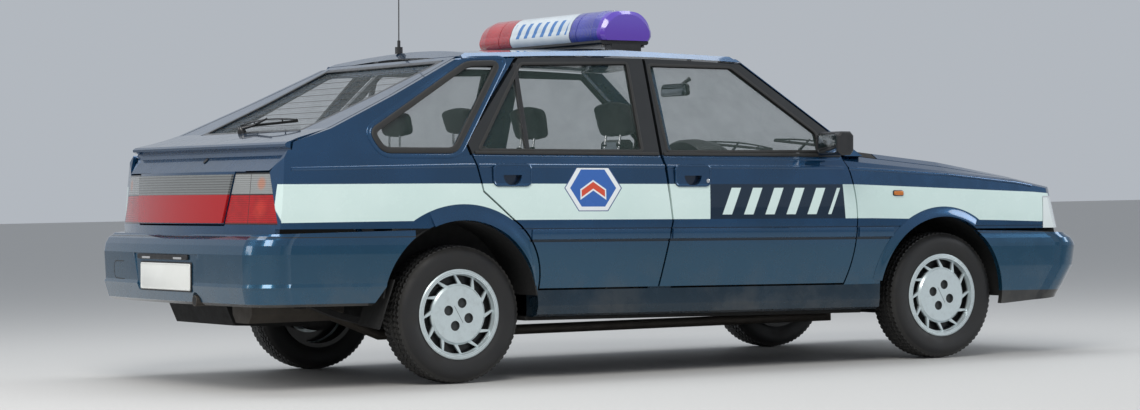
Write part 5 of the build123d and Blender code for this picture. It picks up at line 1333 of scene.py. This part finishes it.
LIGHTS = (  # name, place, target, width, height, power, colour
    ("key", (-4.5, -5.5, 6.5), (0.0, 0.0, 0.5), 4.0, 4.0, 430, (1.0, 0.97, 0.92)),
    ("top", (0.3, 1.0, 6.5), (0.0, 0.0, 0.9), 7.0, 3.0, 230, (0.95, 0.98, 1.0)),
    ("tail", (-7.5, 0.5, 3.6), (-2.0, 0.0, 0.8), 3.0, 3.0, 140, (1.0, 0.98, 0.95)),
    ("nose", (7.0, -4.0, 3.2), (1.5, -0.5, 0.6), 3.0, 2.5, 140, (0.95, 0.98, 1.0)),
)
FLOOR_HALF = 60


def stage_scene():
    t = Tree("floor_paper")
    speck = t.noise(60, 6, 0.6).ramp(0.3, 0.7, smooth=True)
    t.set(color=t.mix(speck, (0.5, 0.495, 0.485), (0.54, 0.535, 0.525)), rough=speck.ramp(0, 1, 0.6, 0.75),
          normal=t.bump(t.noise(300, 3), 0.0004, 0.2))
    corners = [(sx * FLOOR_HALF, sy * FLOOR_HALF, 0) for sx, sy in ((-1, -1), (1, -1), (1, 1), (-1, 1))]
    mesh = mesh_of("floor", corners, [(0, 1, 2, 3)])
    mesh.materials.append(t.mat)
    floor = bpy.data.objects.new("floor", mesh)
    scene.collection.objects.link(floor)

    world = bpy.data.worlds.new("studio")
    scene.world = world
    world.use_nodes = True
    sky = world.node_tree.nodes["Background"]
    sky.inputs["Color"].default_value = (0.86, 0.92, 1.0, 1)
    sky.inputs["Strength"].default_value = 0.52

    for name, place, target, width, height, power, colour in LIGHTS:
        data = bpy.data.lights.new(name, "AREA")
        data.shape = "RECTANGLE"
        data.size, data.size_y = width, height
        data.energy = power
        data.color = colour
        obj = bpy.data.objects.new(name, data)
        obj.location = place
        obj.rotation_euler = (Vector(target) - Vector(place)).to_track_quat("-Z", "Y").to_euler()
        scene.collection.objects.link(obj)


# The camera, as found from the photograph's wheels and edges. Lengths along the sensor are in pixels.
CAMERA_PLACE = (-7.2194, -11.8371, 0.8312)
CAMERA_ANGLES = (30.7297, -0.6164, -0.8776)
FOCAL, WIDTH, MIDDLE, HORIZON = 3049.85, 1140, 205, 214.407


def make_camera():
    yaw, pitch, roll = (radians(a) for a in CAMERA_ANGLES)
    forward = Vector((sin(yaw) * cos(pitch), cos(yaw) * cos(pitch), sin(pitch)))
    right = Vector((cos(yaw), -sin(yaw), 0))
    up = right.cross(forward)
    right, up = (right * cos(roll) + up * sin(roll), up * cos(roll) - right * sin(roll))
    data = bpy.data.cameras.new("camera")
    data.sensor_fit = "HORIZONTAL"
    data.sensor_width = 36
    data.lens = FOCAL * data.sensor_width / WIDTH
    data.shift_y = (HORIZON - MIDDLE) / WIDTH
    data.dof.use_dof = False
    cam = bpy.data.objects.new("camera", data)
    basis = Matrix((right, up, -forward)).transposed()
    cam.matrix_world = Matrix.Translation(CAMERA_PLACE) @ basis.to_4x4()
    scene.collection.objects.link(cam)
    scene.camera = cam
    scene.view_settings.view_transform = "Standard"


stage_scene()
make_camera()
